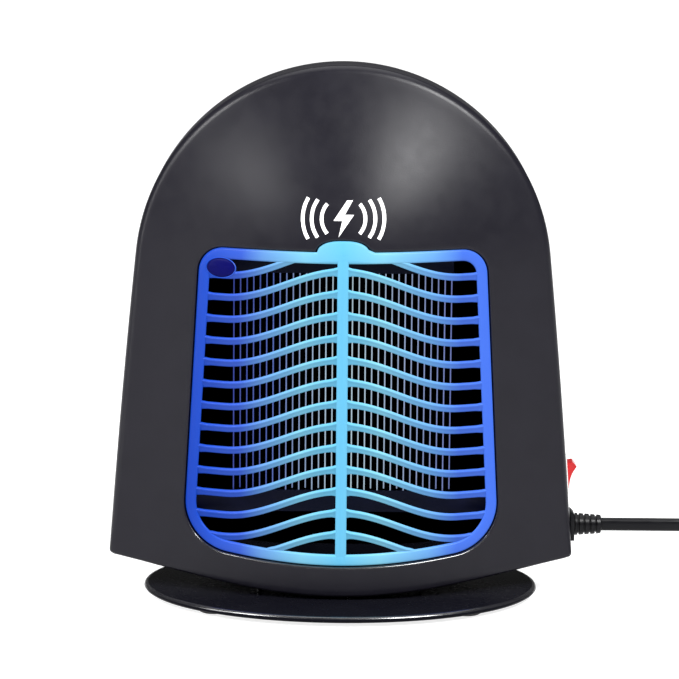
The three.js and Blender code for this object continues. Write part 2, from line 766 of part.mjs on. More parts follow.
function lampTube() {
  const path = new THREE.CurvePath();
  const top = LAMP_CAP_LOW_Z - GAP;
  const bend = LAMP_BEND_Z + LAMP_LEG_X;
  const at = (x, z) => new THREE.Vector3(x, LAMP_Y, z);
  path.add(new THREE.LineCurve3(at(-LAMP_LEG_X, top), at(-LAMP_LEG_X, bend)));
  const turn = new THREE.CatmullRomCurve3(
    Array.from({ length: 9 }, (_, i) => {
      const angle = Math.PI + (Math.PI * i) / 8;
      return at(LAMP_LEG_X * Math.cos(angle), bend + LAMP_LEG_X * Math.sin(angle));
    }),
  );
  path.add(turn);
  path.add(new THREE.LineCurve3(at(LAMP_LEG_X, bend), at(LAMP_LEG_X, top)));
  const section = new THREE.Shape(
    ellipse(LAMP_TUBE_RADIUS, LAMP_TUBE_RADIUS, 12).map(([x, y]) => new THREE.Vector2(x, y)),
  );
  const options = { steps: 24, extrudePath: path, bevelEnabled: false };
  return toSolid(new THREE.ExtrudeGeometry(section, options));
}

function lampClip() {
  const seatZ = LAMP_BEND_Z - LAMP_TUBE_RADIUS - GAP;
  const front = LAMP_Y - LAMP_TUBE_RADIUS - GAP;
  const shelf = box(-6, 6, front - 1.5, BACK_WALL_Y - GAP, seatZ - 3, seatZ);
  const lip = box(-6, 6, front - 1.5, front, seatZ - 1, seatZ + 4);
  return join(shelf, lip);
}

// ---------------------------------------------------------------- drawer

function trayBlank(offset) {
  return prismY(grilleOutline(offset), TRAY_FRONT_Y, 80).intersect(
    box(-200, 200, -100, 100, -10, TRAY_TOP_Z),
  );
}

function traySolid() {
  const skin = pillow(REAR_LIP, REAR_BULGE, 0, -60, REAR);
  const backLimit = skin.translate(0, -GRILLE_RECESS, 0);
  const blank = trayBlank(GRILLE_GAP - SLIDE_GAP).intersect(backLimit);
  const innerBack = skin.translate(0, -GRILLE_RECESS - 2, 0);
  const hollow = prismY(grilleOutline(-TRAY_WALL), TRAY_FRONT_Y + TRAY_WALL, 80).intersect(innerBack);
  const raised = box(-200, 200, -100, 100, GRILLE_BOTTOM_Z + TRAY_WALL, 100);
  const lowFront = prismY(grilleOutline(-TRAY_WALL), TRAY_FRONT_Y - 5, TRAY_FRONT_Y + 5).intersect(
    box(-200, 200, -100, 100, TRAY_FRONT_TOP_Z, 100),
  );
  const grip = rod([0, 30, TRAY_TOP_Z + 3], [0, 80, TRAY_TOP_Z + 3], 11, 20);
  return cut(blank, hollow.intersect(raised), lowFront, grip);
}

// ---------------------------------------------------------------- rocker switch

// the switch's own frame: +X out through the wall, which leans a little
function rockerPlace() {
  const step = 0.5;
  const lean = (sideHalfWidth(ROCKER_Z + step) - sideHalfWidth(ROCKER_Z - step)) / (2 * step);
  return new THREE.Matrix4()
    .makeTranslation(sideHalfWidth(ROCKER_Z), ROCKER_Y, ROCKER_Z)
    .multiply(new THREE.Matrix4().makeRotationY(Math.atan(lean)));
}

function moved(solid, matrix) {
  return toSolid(toGeometry(solid).applyMatrix4(matrix));
}

const ROCKER_BOX_HALF = [6.2, 9.3];

function rockerCutout() {
  const [y, z] = ROCKER_BOX_HALF;
  return box(-20, 10, -y - GAP, y + GAP, -z - GAP, z + GAP);
}

function rockerHousing() {
  const [y, z] = ROCKER_BOX_HALF;
  const [bezelDepth, bezelWidth, bezelHeight] = BEZEL;
  const bezel = box(
    GAP,
    GAP + bezelDepth,
    -bezelWidth / 2,
    bezelWidth / 2,
    -bezelHeight / 2,
    bezelHeight / 2,
  );
  const body = box(-ROCKER_BOX_DEPTH, GAP + 0.5, -y, y, -z, z);
  const cavity = box(
    -7,
    10,
    -ROCKER_HALF_WIDTH - GAP,
    ROCKER_HALF_WIDTH + GAP,
    -ROCKER_ARC - GAP,
    ROCKER_ARC + GAP,
  );
  const terminals = [-4.5, 4.5].map((t) =>
    box(-ROCKER_BOX_DEPTH - 5, -ROCKER_BOX_DEPTH + 1, -2.4, 2.4, t - 0.5, t + 0.5),
  );
  const pin = rod(
    [-ROCKER_PIVOT_DEPTH, -y - 1, 0],
    [-ROCKER_PIVOT_DEPTH, y + 1, 0],
    ROCKER_PIN_RADIUS + GAP,
  );
  return cut(join(bezel, body, ...terminals), cavity, pin);
}

const ROCKER_PIN_RADIUS = 1;

function rockerSolid() {
  const polar = (radius, angle) => [radius * Math.cos(angle), radius * Math.sin(angle)];
  const end = THREE.MathUtils.degToRad(72);
  const steps = 4;
  const wall = Array.from({ length: steps + 1 }, (_, i) =>
    polar(ROCKER_ARC, ROCKER_APEX + ((end - ROCKER_APEX) * i) / steps),
  );
  const apexZ = ROCKER_ARC * Math.sin(ROCKER_APEX);
  const apexX = ROCKER_ARC * Math.cos(ROCKER_APEX);
  const valley = 4.3;
  const faceSteps = 8;
  const face = [];
  for (let i = 1; i < faceSteps; i++) {
    const t = -1 + (2 * i) / faceSteps;
    face.push([valley + (apexX - valley) * t * t, apexZ * t]);
  }
  const mirrored = (points) => points.map(([x, z]) => [x, -z]);
  const profile = [
    [-2.2, -5],
    ...mirrored(wall).reverse(),
    ...face,
    ...wall,
    [-2.2, 5],
  ];
  const tilt = ([x, z]) => {
    const c = Math.cos(ROCKER_TILT);
    const s = Math.sin(ROCKER_TILT);
    return [x * c + z * s - ROCKER_PIVOT_DEPTH, z * c - x * s];
  };
  const body = prismY(profile.map(tilt), -ROCKER_HALF_WIDTH, ROCKER_HALF_WIDTH);
  const y = ROCKER_BOX_HALF[0] - GAP;
  const pin = rod([-ROCKER_PIVOT_DEPTH, -y, 0], [-ROCKER_PIVOT_DEPTH, y, 0], ROCKER_PIN_RADIUS);
  return join(body, pin);
}

// ---------------------------------------------------------------- mains lead

const RELIEF_NECK = 5;
const RELIEF_FACE_X = sideHalfWidth(LEAD_Z - RELIEF_FLANGE[2] / 2) + GAP;
const RELIEF_END_X = RELIEF_FACE_X + RELIEF_FLANGE[0] + RELIEF_LENGTH;

function strainRelief() {
  const inner = sideHalfWidth(LEAD_Z + 6.5) - SHELL_WALL - GAP;
  const root = RELIEF_FACE_X + RELIEF_FLANGE[0];
  const ribs = 4;
  const radiusAt = (t) => 5.9 - 1.05 * t;
  const profile = [
    [0, inner - 2.6],
    [6.3, inner - 2.6],
    [6.3, inner],
    [RELIEF_NECK, inner],
    [RELIEF_NECK, root - 0.5],
    [radiusAt(0), root - 0.5],
  ];
  const pitch = RELIEF_LENGTH / (ribs + 0.6);
  for (let i = 0; i < ribs; i++) {
    const x = root + pitch * (i + 0.55);
    const r = radiusAt((x - root) / RELIEF_LENGTH);
    profile.push([r, x], [r - 1, x + 0.2], [r - 1, x + 0.9], [r, x + 1.1]);
  }
  profile.push([radiusAt(1), RELIEF_END_X - 0.6], [radiusAt(1) - 0.7, RELIEF_END_X]);
  profile.push([0, RELIEF_END_X]);
  const round = turned(profile, 16).rotateY(Math.PI / 2).translate(0, LEAD_Y, LEAD_Z);
  const [depth, width, height] = RELIEF_FLANGE;
  const flange = block([depth, width, height], RELIEF_FACE_X + depth / 2, LEAD_Y, LEAD_Z);
  return join(toSolid(round), flange);
}

// the lead's middle line from the strain relief to the coil: out level, then down
const CORD_RUN = [
  [RELIEF_END_X + GAP, LEAD_Y, LEAD_Z],
  [145, 14, 33.8],
  [151, 14, 33.8],
  [158, 14, 33.8],
  [165, 14, 33.8],
  [172, 14, 33.8],
  [178, 14, 33.8],
  [185.8, 14, 32.8],
  [193, 14, 29.8],
  [199.2, 14, 25],
  [202, 14, 22],
  [206.3, 14, 17.4],
  [211.5, 14, 13.9],
  [217.8, 14, 11.4],
  [225, 14, 10.4],
  [226.6, 14, 10.35],
];

// from the coil to the plug
const CORD_TAIL = [
  [206.1, -6.5, 3.5],
  [206.1, -1, 3.6],
  [206.1, 5, 4.1],
  [206.1, 11, 5.1],
  [206.1, 17, 6.1],
  [206.1, 22, 6.5],
];

function stadium(long, short, perEnd) {
  const straight = (long - short) / 2;
  return [1, -1].flatMap((s) =>
    Array.from({ length: perEnd + 1 }, (_, i) => {
      const angle = (Math.PI * i) / perEnd - Math.PI / 2;
      const r = short / 2;
      return [s * (straight + r * Math.cos(angle)), s * r * Math.sin(angle)];
    }),
  );
}

// the lead stands on edge all the way; across says which side of its section that is
function cordSolid(points, steps, across = false) {
  const path = new THREE.CatmullRomCurve3(points.map((p) => new THREE.Vector3(...p)));
  const outline = stadium(CORD_WIDTH, CORD_THICKNESS, 3);
  const section = new THREE.Shape(
    outline.map(([x, y]) => (across ? new THREE.Vector2(-y, x) : new THREE.Vector2(x, y))),
  );
  const options = { steps, extrudePath: path, bevelEnabled: false };
  return toSolid(new THREE.ExtrudeGeometry(section, options));
}

function coilSolid() {
  const [x, y] = COIL_CENTRE;
  return toSolid(
    turned(
      [
        [COIL_INNER, 0],
        [COIL_OUTER, 0],
        [COIL_OUTER, COIL_HEIGHT],
        [COIL_INNER, COIL_HEIGHT],
        [COIL_INNER, 0],
      ],
      40,
    ).translate(x, y, 0),
  );
}

const PLUG_Z = 6.5;
const PLUG_START_Y = 22.3;

function plugSolid() {
  const [x] = CORD_TAIL.at(-1);
  const outline = [
    [-4.2, 0],
    [4.2, 0],
    [5.2, 9],
    [11.5, 14],
    [12, 17],
    [12, 27],
    [10.5, 28.5],
    [-10.5, 28.5],
    [-12, 27],
    [-12, 17],
    [-11.5, 14],
    [-5.2, 9],
  ];
  const place = ([px, py]) => [px + x, py + PLUG_START_Y];
  return prismZ(outline.map(place), 0, 2 * PLUG_Z);
}

function bladeSolid(side) {
  const [x] = CORD_TAIL.at(-1);
  const y = PLUG_START_Y + 28.5 + GAP;
  return block([1.5, 17, 6.3], x + side * 6.35, y + 8.5, PLUG_Z);
}

// ---------------------------------------------------------------- board

const BOARD_Y = CHAMBER_BACK_Y + STANDOFF + GAP;
const MOUNT_Y = BOARD_Y + BOARD[1] + GAP;
const BOARD_SCREW_RADIUS = 1.2;
const BOARD_CORNERS = [
  [-41, BOARD_Z + 32],
  [41, BOARD_Z + 32],
  [-41, BOARD_Z - 32],
  [41, BOARD_Z - 32],
];

function boardSolid() {
  const plate = block(BOARD, 0, BOARD_Y + BOARD[1] / 2, BOARD_Z);
  const holes = BOARD_CORNERS.map(([x, z]) =>
    rod([x, BOARD_Y - 1, z], [x, BOARD_Y + 5, z], BOARD_SCREW_RADIUS + GAP, 12),
  );
  return cut(plate, ...holes);
}

// a component of [x, y, z] sizes standing on the board's rear face
const mounted = (size, x, z) => block(size, x, MOUNT_Y + size[1] / 2, z);

function chokeSolid(x, z) {
  const ring = turned(
    [
      [4, 0],
      [9, 0],
      [9, 8],
      [4, 8],
      [4, 0],
    ],
    20,
  );
  return toSolid(ring.rotateX(-Math.PI / 2).translate(x, MOUNT_Y, z));
}

function screwSolid(seat, tip, headRadius, radius, headHeight) {
  const a = new THREE.Vector3(...seat);
  const b = new THREE.Vector3(...tip);
  const out = a.clone().sub(b).normalize().multiplyScalar(headHeight).add(a);
  const inside = b.clone().sub(a).normalize().multiplyScalar(-headHeight / 2).add(a);
  return join(
    rod(seat, out.toArray(), headRadius, 10),
    rod(inside.toArray(), tip, radius, 8),
  );
}

// ---------------------------------------------------------------- finishes

const finish = (color, roughness, metalness = 0) =>
  new THREE.MeshStandardMaterial({ color, roughness, metalness });

const satinBlack = finish(0x1b1b1f, 0.45);
const glossBlack = finish(0x121215, 0.2);
const innerBlack = finish(0x0c0e1c, 0.4);
const rubber = finish(0x151515, 0.85);
const grilleBlue = finish(0x2f6ff0, 0.35);
const capNavy = finish(0x101a70, 0.35);
const steel = finish(0xb8bcc2, 0.3, 1);
const darkSteel = finish(0x55585e, 0.35, 1);
const brass = finish(0xc8a860, 0.3, 1);
const lampGlass = finish(0x2a1f66, 0.1);
const ivory = finish(0xe8e4d8, 0.5);
const rockerRed = finish(0xd0151a, 0.25);
const boardGreen = finish(0x1e5a36, 0.5);
const copperWire = finish(0xa8602c, 0.35, 0.8);
const filmYellow = finish(0xc9a227, 0.5);
const sleeveBlack = finish(0x17171a, 0.5);

// ---------------------------------------------------------------- assembly

const zapper = new THREE.Group();

function part(name, solid, material, matrix) {
  const mesh = new THREE.Mesh(toGeometry(solid), material);
  mesh.name = name;
  if (matrix) mesh.applyMatrix4(matrix);
  zapper.add(mesh);
}

part("front_shell", frontShell(), satinBlack);
part("rear_shell", rearShell(), satinBlack);
part("foot_disc", footSolid(), glossBlack);
PADS.forEach(([x, y], i) => {
  part(`foot_pad_${i + 1}`, rod([x, y, 0], [x, y, PAD_TOP_Z], PAD_RADIUS, 24), rubber);
});

part("front_grille", grilleSolid(), grilleBlue);
const capFace = prismY(capOutline(0), -100, 0).intersect(skinLayer(0, GRILLE_RECESS - GAP));
const pegFrom = frontSkin(INTERLOCK_X, INTERLOCK_Z) + 0.5;
const PEG_TIP_Y = SWITCH_FRONT_Y - 2.5 - GAP;
part(
  "interlock_plug",
  join(capFace, rod(pegAt(pegFrom), pegAt(PEG_TIP_Y), PEG_RADIUS, 16)),
  capNavy,
);
part("interlock_switch", interlockSwitch(), innerBlack);
part(
  "interlock_plunger",
  rod(pegAt(PEG_TIP_Y + GAP), pegAt(SWITCH_FRONT_Y + 6), PLUNGER_RADIUS, 12),
  ivory,
);

part("zap_chamber", chamberSolid(), innerBlack);
const lowerRailZ = LOWER_BUS_Z - BUS_RADIUS - GAP - RAIL_HEIGHT;
part("lower_rail", rail(lowerRailZ, lowerRailZ, LOW_LIP_Z, 200), innerBlack);
const upperRailZ = UPPER_BUS_Z + BUS_RADIUS + GAP;
const lipReach = -INTERLOCK_X - SWITCH_BOX[0] / 2 - GAP;
part("upper_rail", rail(upperRailZ, HIGH_LIP_Z, upperRailZ + RAIL_HEIGHT, lipReach), innerBlack);
part("return_comb", comb(0, LOWER_BUS_Z, UPPER_BUS_Z - WIRE_STOP), steel);
part("live_comb", comb(1, UPPER_BUS_Z, LOWER_BUS_Z + WIRE_STOP), steel);
part("collection_tray", traySolid(), glossBlack);

part("lamp_tube", lampTube(), lampGlass);
part("lamp_cap", block(LAMP_CAP, 0, LAMP_Y, LAMP_CAP_LOW_Z + LAMP_CAP[2] / 2), innerBlack);
part("lamp_socket", block(LAMP_SOCKET, 0, LAMP_Y, LAMP_TOP_Z - LAMP_SOCKET[2] / 2), innerBlack);
part("lamp_clip", lampClip(), darkSteel);

part("rocker_housing", rockerHousing(), ivory, rockerPlace());
part("rocker", rockerSolid(), rockerRed, rockerPlace());

part("circuit_board", boardSolid(), boardGreen);
part("step_up_transformer", mounted([26, 14, 22], -22, BOARD_Z + 14), filmYellow);
part("film_capacitor_1", mounted([18, 10, 7], 14, BOARD_Z + 25), copperWire);
part("film_capacitor_2", mounted([18, 10, 7], 14, BOARD_Z + 14), copperWire);
const can = (x, z) => rod([x, MOUNT_Y, z], [x, MOUNT_Y + 12, z], 5, 20);
part("smoothing_capacitor", can(34, BOARD_Z + 6), sleeveBlack);
part("ballast_choke", chokeSolid(-24, BOARD_Z - 14), copperWire);
part("fuse", rod([-2, MOUNT_Y + 2.6, BOARD_Z - 6], [20, MOUNT_Y + 2.6, BOARD_Z - 6], 2.6, 12), ivory);
[0, 1, 2].forEach((i) => {
  const z = BOARD_Z - 14 - i * 6;
  const diode = rod([2, MOUNT_Y + 1.4, z], [11, MOUNT_Y + 1.4, z], 1.4, 10);
  part(`diode_${i + 1}`, diode, sleeveBlack);
});
part("terminal_block", mounted([14, 9, 8], 32, BOARD_Z - 20), ivory);

part("strain_relief", strainRelief(), sleeveBlack);
part("cord_run", cordSolid(CORD_RUN, 30), sleeveBlack);
part("cord_coil", coilSolid(), sleeveBlack);
part("cord_tail", cordSolid(CORD_TAIL, 10, true), sleeveBlack);
part("plug_body", plugSolid(), sleeveBlack);
part("plug_blade_1", bladeSolid(-1), brass);
part("plug_blade_2", bladeSolid(1), brass);

SHELL_SCREWS.forEach(([x, z], i) => {
  const seat = [x, SCREW_SEAT_Y + GAP, z];
  const tip = [x, SCREW_SEAT_Y + GAP - SCREW_REACH, z];
  const screw = screwSolid(seat, tip, SCREW_HEAD_RADIUS, SCREW_RADIUS, SCREW_HEAD);
  part(`shell_screw_${i + 1}`, screw, darkSteel);
});
FOOT_SCREWS.forEach(([x, y], i) => {
  const seat = [x, y, FOOT_UNDER_Z + SCREW_HEAD];
  const tip = [x, y, keel(x) + 8];
  const screw = screwSolid(seat, tip, SCREW_HEAD_RADIUS, SCREW_RADIUS, SCREW_HEAD);
  part(`foot_screw_${i + 1}`, screw, darkSteel);
});
[BOARD_CORNERS[0], BOARD_CORNERS[3]].forEach(([x, z], i) => {
  const seat = [x, MOUNT_Y, z];
  const screw = screwSolid(seat, [x, CHAMBER_BACK_Y + 0.6, z], 2.3, BOARD_SCREW_RADIUS, 1.8);
  part(`board_screw_${i + 1}`, screw, darkSteel);
});

export default zapper;
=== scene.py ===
# %% [markdown]
# # Electric bug zapper
# A tabletop insect killer: a pillow-shaped black housing on an oval foot, a blue grille in
# front of a grid of high-voltage wires, a rocker switch and a flat mains lead. The packed
# model is loaded as a fixed frame, and every piece below is made where that frame says.

# %% Load the frame
import math

import bmesh
import bpy
from mathutils import Matrix, Vector


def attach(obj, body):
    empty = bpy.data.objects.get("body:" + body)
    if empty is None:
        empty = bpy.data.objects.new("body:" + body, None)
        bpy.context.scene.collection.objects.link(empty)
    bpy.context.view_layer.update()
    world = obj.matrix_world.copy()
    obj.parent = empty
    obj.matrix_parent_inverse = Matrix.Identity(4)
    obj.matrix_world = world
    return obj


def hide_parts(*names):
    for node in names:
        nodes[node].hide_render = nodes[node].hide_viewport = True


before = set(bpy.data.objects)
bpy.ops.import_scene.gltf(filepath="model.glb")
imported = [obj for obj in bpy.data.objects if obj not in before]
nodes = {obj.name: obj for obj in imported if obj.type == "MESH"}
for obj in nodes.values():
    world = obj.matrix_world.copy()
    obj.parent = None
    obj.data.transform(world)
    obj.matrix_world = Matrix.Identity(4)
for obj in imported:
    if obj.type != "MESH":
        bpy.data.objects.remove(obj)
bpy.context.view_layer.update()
MM = 0.001

# %% [markdown]
# ## Camera and studio
# A product picture is taken from far away with a long lens, so upright lines stay upright.
# The floor is one pale sheet that runs behind the object to the top of the view. It glows a
# little by itself and is lit by a wide soft sun, which keeps the shadows on it light. Soft
# lamps stand above and beside the object: a black satin housing shows its form only by what
# it reflects, so their places matter more than their power.

# %% Camera
camera = bpy.data.objects.new("camera", bpy.data.cameras.new("camera"))
bpy.context.scene.collection.objects.link(camera)
bpy.context.scene.camera = camera
camera.data.sensor_width = 36
camera.data.lens = 166.4
camera.data.clip_end = 100
CAMERA_PITCH = math.radians(9.46)
CAMERA_ROLL = math.radians(0.5)
forward = Vector((0, math.cos(CAMERA_PITCH), -math.sin(CAMERA_PITCH)))
level_right = Vector((1, 0, 0))
level_up = level_right.cross(forward)
right = math.cos(CAMERA_ROLL) * level_right + math.sin(CAMERA_ROLL) * level_up
up = right.cross(forward)
turn = Matrix((right, up, -forward)).transposed()
camera.matrix_world = Matrix.Translation((-0.0015, -1.6, 0.4)) @ turn.to_4x4()
print("camera", tuple(round(v, 3) for v in camera.location), "lens", camera.data.lens)

# %% Floor, lamps and sky
scene = bpy.context.scene
scene.view_settings.view_transform = "Standard"


def flat_colour(name, colour, roughness, lit):
    material = bpy.data.materials.new(name)
    material.use_nodes = True
    shader = material.node_tree.nodes["Principled BSDF"]
    shader.inputs["Base Color"].default_value = (*colour, 1)
    shader.inputs["Roughness"].default_value = roughness
    shader.inputs["Emission Color"].default_value = (1, 1, 1, 1)
    shader.inputs["Emission Strength"].default_value = lit
    return material


sheet = bmesh.new()
bmesh.ops.create_grid(sheet, x_segments=1, y_segments=1, size=12)
floor_mesh = bpy.data.meshes.new("floor")
sheet.to_mesh(floor_mesh)
sheet.free()
floor = bpy.data.objects.new("floor", floor_mesh)
scene.collection.objects.link(floor)
floor_mesh.materials.append(flat_colour("floor_paper", (0.35, 0.35, 0.355), 0.9, 0.82))


def lamp(name, place, aim, size, power, colour=(1, 1, 1)):
    data = bpy.data.lights.new(name, "AREA")
    data.shape = "RECTANGLE"
    data.size, data.size_y = size
    data.energy = power
    data.color = colour
    obj = bpy.data.objects.new(name, data)
    scene.collection.objects.link(obj)
    away = (Vector(place) - Vector(aim)).normalized()
    obj.matrix_world = Matrix.Translation(place) @ away.to_track_quat("Z", "Y").to_matrix().to_4x4()
    return obj


sun_data = bpy.data.lights.new("sky_sun", "SUN")
sun_data.energy = 1.8
sun_data.angle = math.radians(55)
sun = bpy.data.objects.new("sky_sun", sun_data)
scene.collection.objects.link(sun)
sun.matrix_world = Matrix.Rotation(math.radians(-14), 4, "X")
lamp("key_softbox", (1.05, -1.3, 1.7), (0, 0, 0.2), (0.8, 0.7), 92)
lamp("left_softbox", (-1.35, -1.15, 1.5), (0, 0, 0.2), (0.6, 0.7), 46)
lamp("left_strip", (-1.6, -0.7, 0.7), (0, 0, 0.15), (0.3, 1.2), 14)
world = bpy.data.worlds.new("sky")
scene.world = world
world.use_nodes = True
world.node_tree.nodes["Background"].inputs["Color"].default_value = (1, 1, 1, 1)
world.node_tree.nodes["Background"].inputs["Strength"].default_value = 0.14

# %% [markdown]
# ## Finishes
# Nearly everything here is moulded plastic, drawn metal or rubber. Each gets the same kind of
# recipe with its own numbers: a slow noise that shifts the colour a little, a second noise
# that makes the sheen uneven as handling does, and a fine noise as the grain of the mould.
# The noises read Object coordinates in metres, so a scale of 2000 is a grain of half a
# millimetre.

# %% A recipe for moulded and drawn surfaces
def node(material, kind, **values):
    made = material.node_tree.nodes.new(kind)
    for key, value in values.items():
        if hasattr(made, key):
            setattr(made, key, value)
        else:
            made.inputs[key.replace("_", " ").title()].default_value = value
    return made


def link(material, start, end):
    material.node_tree.links.new(start, end)


def noise(material, scale, detail=2.0):
    place = node(material, "ShaderNodeTexCoord")
    made = node(material, "ShaderNodeTexNoise")
    made.inputs["Scale"].default_value = scale
    made.inputs["Detail"].default_value = detail
    link(material, place.outputs["Object"], made.inputs["Vector"])
    return made.outputs[0]


def ramp(material, factor, stops):
    made = node(material, "ShaderNodeValToRGB")
    elements = made.color_ramp.elements
    while len(elements) < len(stops):
        elements.new(0.5)
    for element, (position, colour) in zip(elements, stops):
        element.position = position
        element.color = (*colour, 1)
    link(material, factor, made.inputs["Fac"])
    return made.outputs["Color"]


def span(material, value, low, high, to_low, to_high):
    made = node(material, "ShaderNodeMapRange")
    for name, number in zip(("From Min", "From Max", "To Min", "To Max"), (low, high, to_low, to_high)):
        made.inputs[name].default_value = number
    link(material, value, made.inputs["Value"])
    return made.outputs["Result"]


def surface(name, dark, light, sheen, grain, patch=60.0, metal=0.0, shine=0.5):
    """dark and light colours, (lowest, highest) roughness, and (scale, depth in mm) of the grain"""
    material = bpy.data.materials.new(name)
    material.use_nodes = True
    shader = material.node_tree.nodes["Principled BSDF"]
    shader.inputs["Metallic"].default_value = metal
    shader.inputs["Specular IOR Level"].default_value = shine
    colour = ramp(material, noise(material, patch, 4), [(0.3, dark), (0.7, light)])
    link(material, colour, shader.inputs["Base Color"])
    rough = span(material, noise(material, patch * 2.3, 5), 0.35, 0.65, *sheen)
    link(material, rough, shader.inputs["Roughness"])
    bump = node(material, "ShaderNodeBump")
    bump.inputs["Strength"].default_value = 0.6
    bump.inputs["Distance"].default_value = grain[1] * MM
    link(material, noise(material, grain[0], 3), bump.inputs["Height"])
    link(material, bump.outputs["Normal"], shader.inputs["Normal"])
    return material


satin_black = surface(
    "satin_black", (0.0052, 0.0048, 0.0078), (0.0062, 0.0058, 0.0092), (0.32, 0.37), (1800, 0.045),
    shine=0.19,
)
gloss_black = surface(
    "gloss_black", (0.003, 0.003, 0.005), (0.004, 0.004, 0.006), (0.26, 0.28), (400, 0.002), shine=0.015
)
# A glossier copy of the satin black for rims: a painted sheen, put only where a bright rim line should show.
rim_painted_sheen = surface(
    "rim_painted_sheen", (0.006, 0.006, 0.008), (0.008, 0.008, 0.010), (0.18, 0.24), (1800, 0.01), shine=1.0
)
chamber_black = surface(
    "chamber_black", (0.0012, 0.0015, 0.006), (0.002, 0.0025, 0.010), (0.4, 0.5), (1200, 0.04), shine=0.08
)
pad_rubber = surface("pad_rubber", (0.010, 0.010, 0.010), (0.018, 0.018, 0.018), (0.75, 0.9), (900, 0.08))
cord_vinyl = surface(
    "cord_vinyl", (0.0022, 0.0022, 0.0032), (0.0036, 0.0036, 0.0046), (0.3, 0.4), (700, 0.03), shine=0.14
)
print("finishes so far", [m.name for m in bpy.data.materials])

# %% [markdown]
# ## How a piece is handed over
# Each piece is a bmesh in millimetres. One helper scales it to metres, turns its faces
# outwards, makes round surfaces smooth while edges over a given angle stay crisp, gives it
# its finish, says which body it rides on, and hides the plain nodes it stands for.

# %% Hand-over
def hand_over(name, mesh, finish, body, replaces=(), crisp=32):
    bmesh.ops.recalc_face_normals(mesh, faces=mesh.faces)
    bmesh.ops.scale(mesh, vec=(MM, MM, MM), verts=mesh.verts)
    data = bpy.data.meshes.new(name)
    mesh.to_mesh(data)
    mesh.free()
    data.materials.append(finish)
    for polygon in data.polygons:
        polygon.use_smooth = True
    data.set_sharp_from_angle(angle=math.radians(crisp))
    obj = bpy.data.objects.new(name, data)
    scene.collection.objects.link(obj)
    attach(obj, body)
    if replaces:
        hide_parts(*replaces)
    return obj


def copied(node_name, finish, body="housing", edge=0.25, crisp=32):
    """a merged copy of a plain node with its sharp edges eased by a small bevel, in mm"""
    mesh = bmesh.new()
    mesh.from_mesh(nodes[node_name].data)
    bmesh.ops.remove_doubles(mesh, verts=mesh.verts, dist=2e-6)
    bmesh.ops.dissolve_limit(mesh, angle_limit=0.002, verts=mesh.verts, edges=mesh.edges)
    bmesh.ops.scale(mesh, vec=(1 / MM, 1 / MM, 1 / MM), verts=mesh.verts)
    obj = hand_over(node_name + "_finish", mesh, finish, body, (node_name,), crisp)
    if edge:
        ease = obj.modifiers.new("ease", "BEVEL")
        ease.width = edge * MM
        ease.segments = 2
        ease.limit_method = "ANGLE"
        ease.angle_limit = math.radians(crisp)
        ease.harden_normals = True
    return obj


def loop(mesh, points):
    corners = [mesh.verts.new(p) for p in points]
    return [mesh.edges.new((a, b)) for a, b in zip(corners, corners[1:] + corners[:1])]


def bridge(mesh, rings, ends=False, closed=False):
    """joins rings of points one after another; ends closes the first and the last"""
    loops = [loop(mesh, ring) for ring in rings]
    pairs = list(zip(loops, loops[1:]))
    if closed:
        pairs.append((loops[-1], loops[0]))
    for a, b in pairs:
        bmesh.ops.bridge_loops(mesh, edges=a + b)
    if ends:
        for edges in (loops[0], loops[-1]):
            bmesh.ops.edgeloop_fill(mesh, edges=edges)
    return loops


def carried(mesh, ring, step):
    """closes a ring of points as one face and carries it by step; gives both ends' corners"""
    base = bmesh.ops.edgeloop_fill(mesh, edges=loop(mesh, ring))["faces"]
    near = list(base[0].verts)
    moved = bmesh.ops.extrude_face_region(mesh, geom=base)["geom"]
    far = [v for v in moved if isinstance(v, bmesh.types.BMVert)]
    bmesh.ops.translate(mesh, vec=step, verts=far)
    return near, far


print("helpers ready")

# %% [markdown]
# ## Mains lead
# The lead is a flat twin cord: two insulated cores side by side, 6.9 by 4.4 mm, with a groove
# between them, standing on edge. It leaves its strain relief level, sags to the table, and
# its spare length is wound into a neat coil of two layers, with the plug beside it. A curve
# with a bevel profile keeps one even section along its whole length.

# %% The lead's route
COIL_MIDDLE = (248.0, -27.9)
PLUG_X, PLUG_Y = 206.1, 22.3
lead_points = [
    (137.0, 14, 33.8), (145, 14, 33.8), (151, 14, 33.8), (158, 14, 33.8), (165, 14, 33.8),
    (172, 14, 33.8), (178, 14, 33.8), (185.8, 14, 32.8), (193, 14, 29.8), (199.2, 14, 25),
    (202, 14, 22), (206.3, 14, 17.4), (211.5, 14, 13.9), (217.8, 14, 11.4), (225, 14, 10.4),
    (226.6, 14, 10.35), (237, 14, 10.35),
]
TOP_TURNS, ALL_TURNS, STEPS = 2.6, 5.75, 28
OUTER, INNER, TOP_Z, LOW_Z = 41.9, 29.3, 10.35, 3.45
for i in range(int(ALL_TURNS * STEPS) + 1):
    t = i / STEPS
    ramp_end = TOP_TURNS + 0.5
    if t <= TOP_TURNS:
        r, z = OUTER + (INNER - OUTER) * t / TOP_TURNS, TOP_Z
    elif t <= ramp_end:
        s = (t - TOP_TURNS) * 2
        r, z = INNER - 0.8 * math.sin(math.pi * s), TOP_Z + (LOW_Z - TOP_Z) * s * s * (3 - 2 * s)
    else:
        r, z = INNER + (OUTER - INNER) * (t - ramp_end) / (ALL_TURNS - ramp_end), LOW_Z
    angle = math.pi / 2 - 2 * math.pi * t
    lead_points.append((COIL_MIDDLE[0] + r * math.cos(angle), COIL_MIDDLE[1] + r * math.sin(angle), z))
tail = [(-22, 3.45), (-14, 3.45), (-6.5, 3.5), (-1, 3.6), (5, 4.1), (11, 5.1), (17, 6.1), (22, 6.5)]
lead_points += [(PLUG_X, y, z) for y, z in tail]

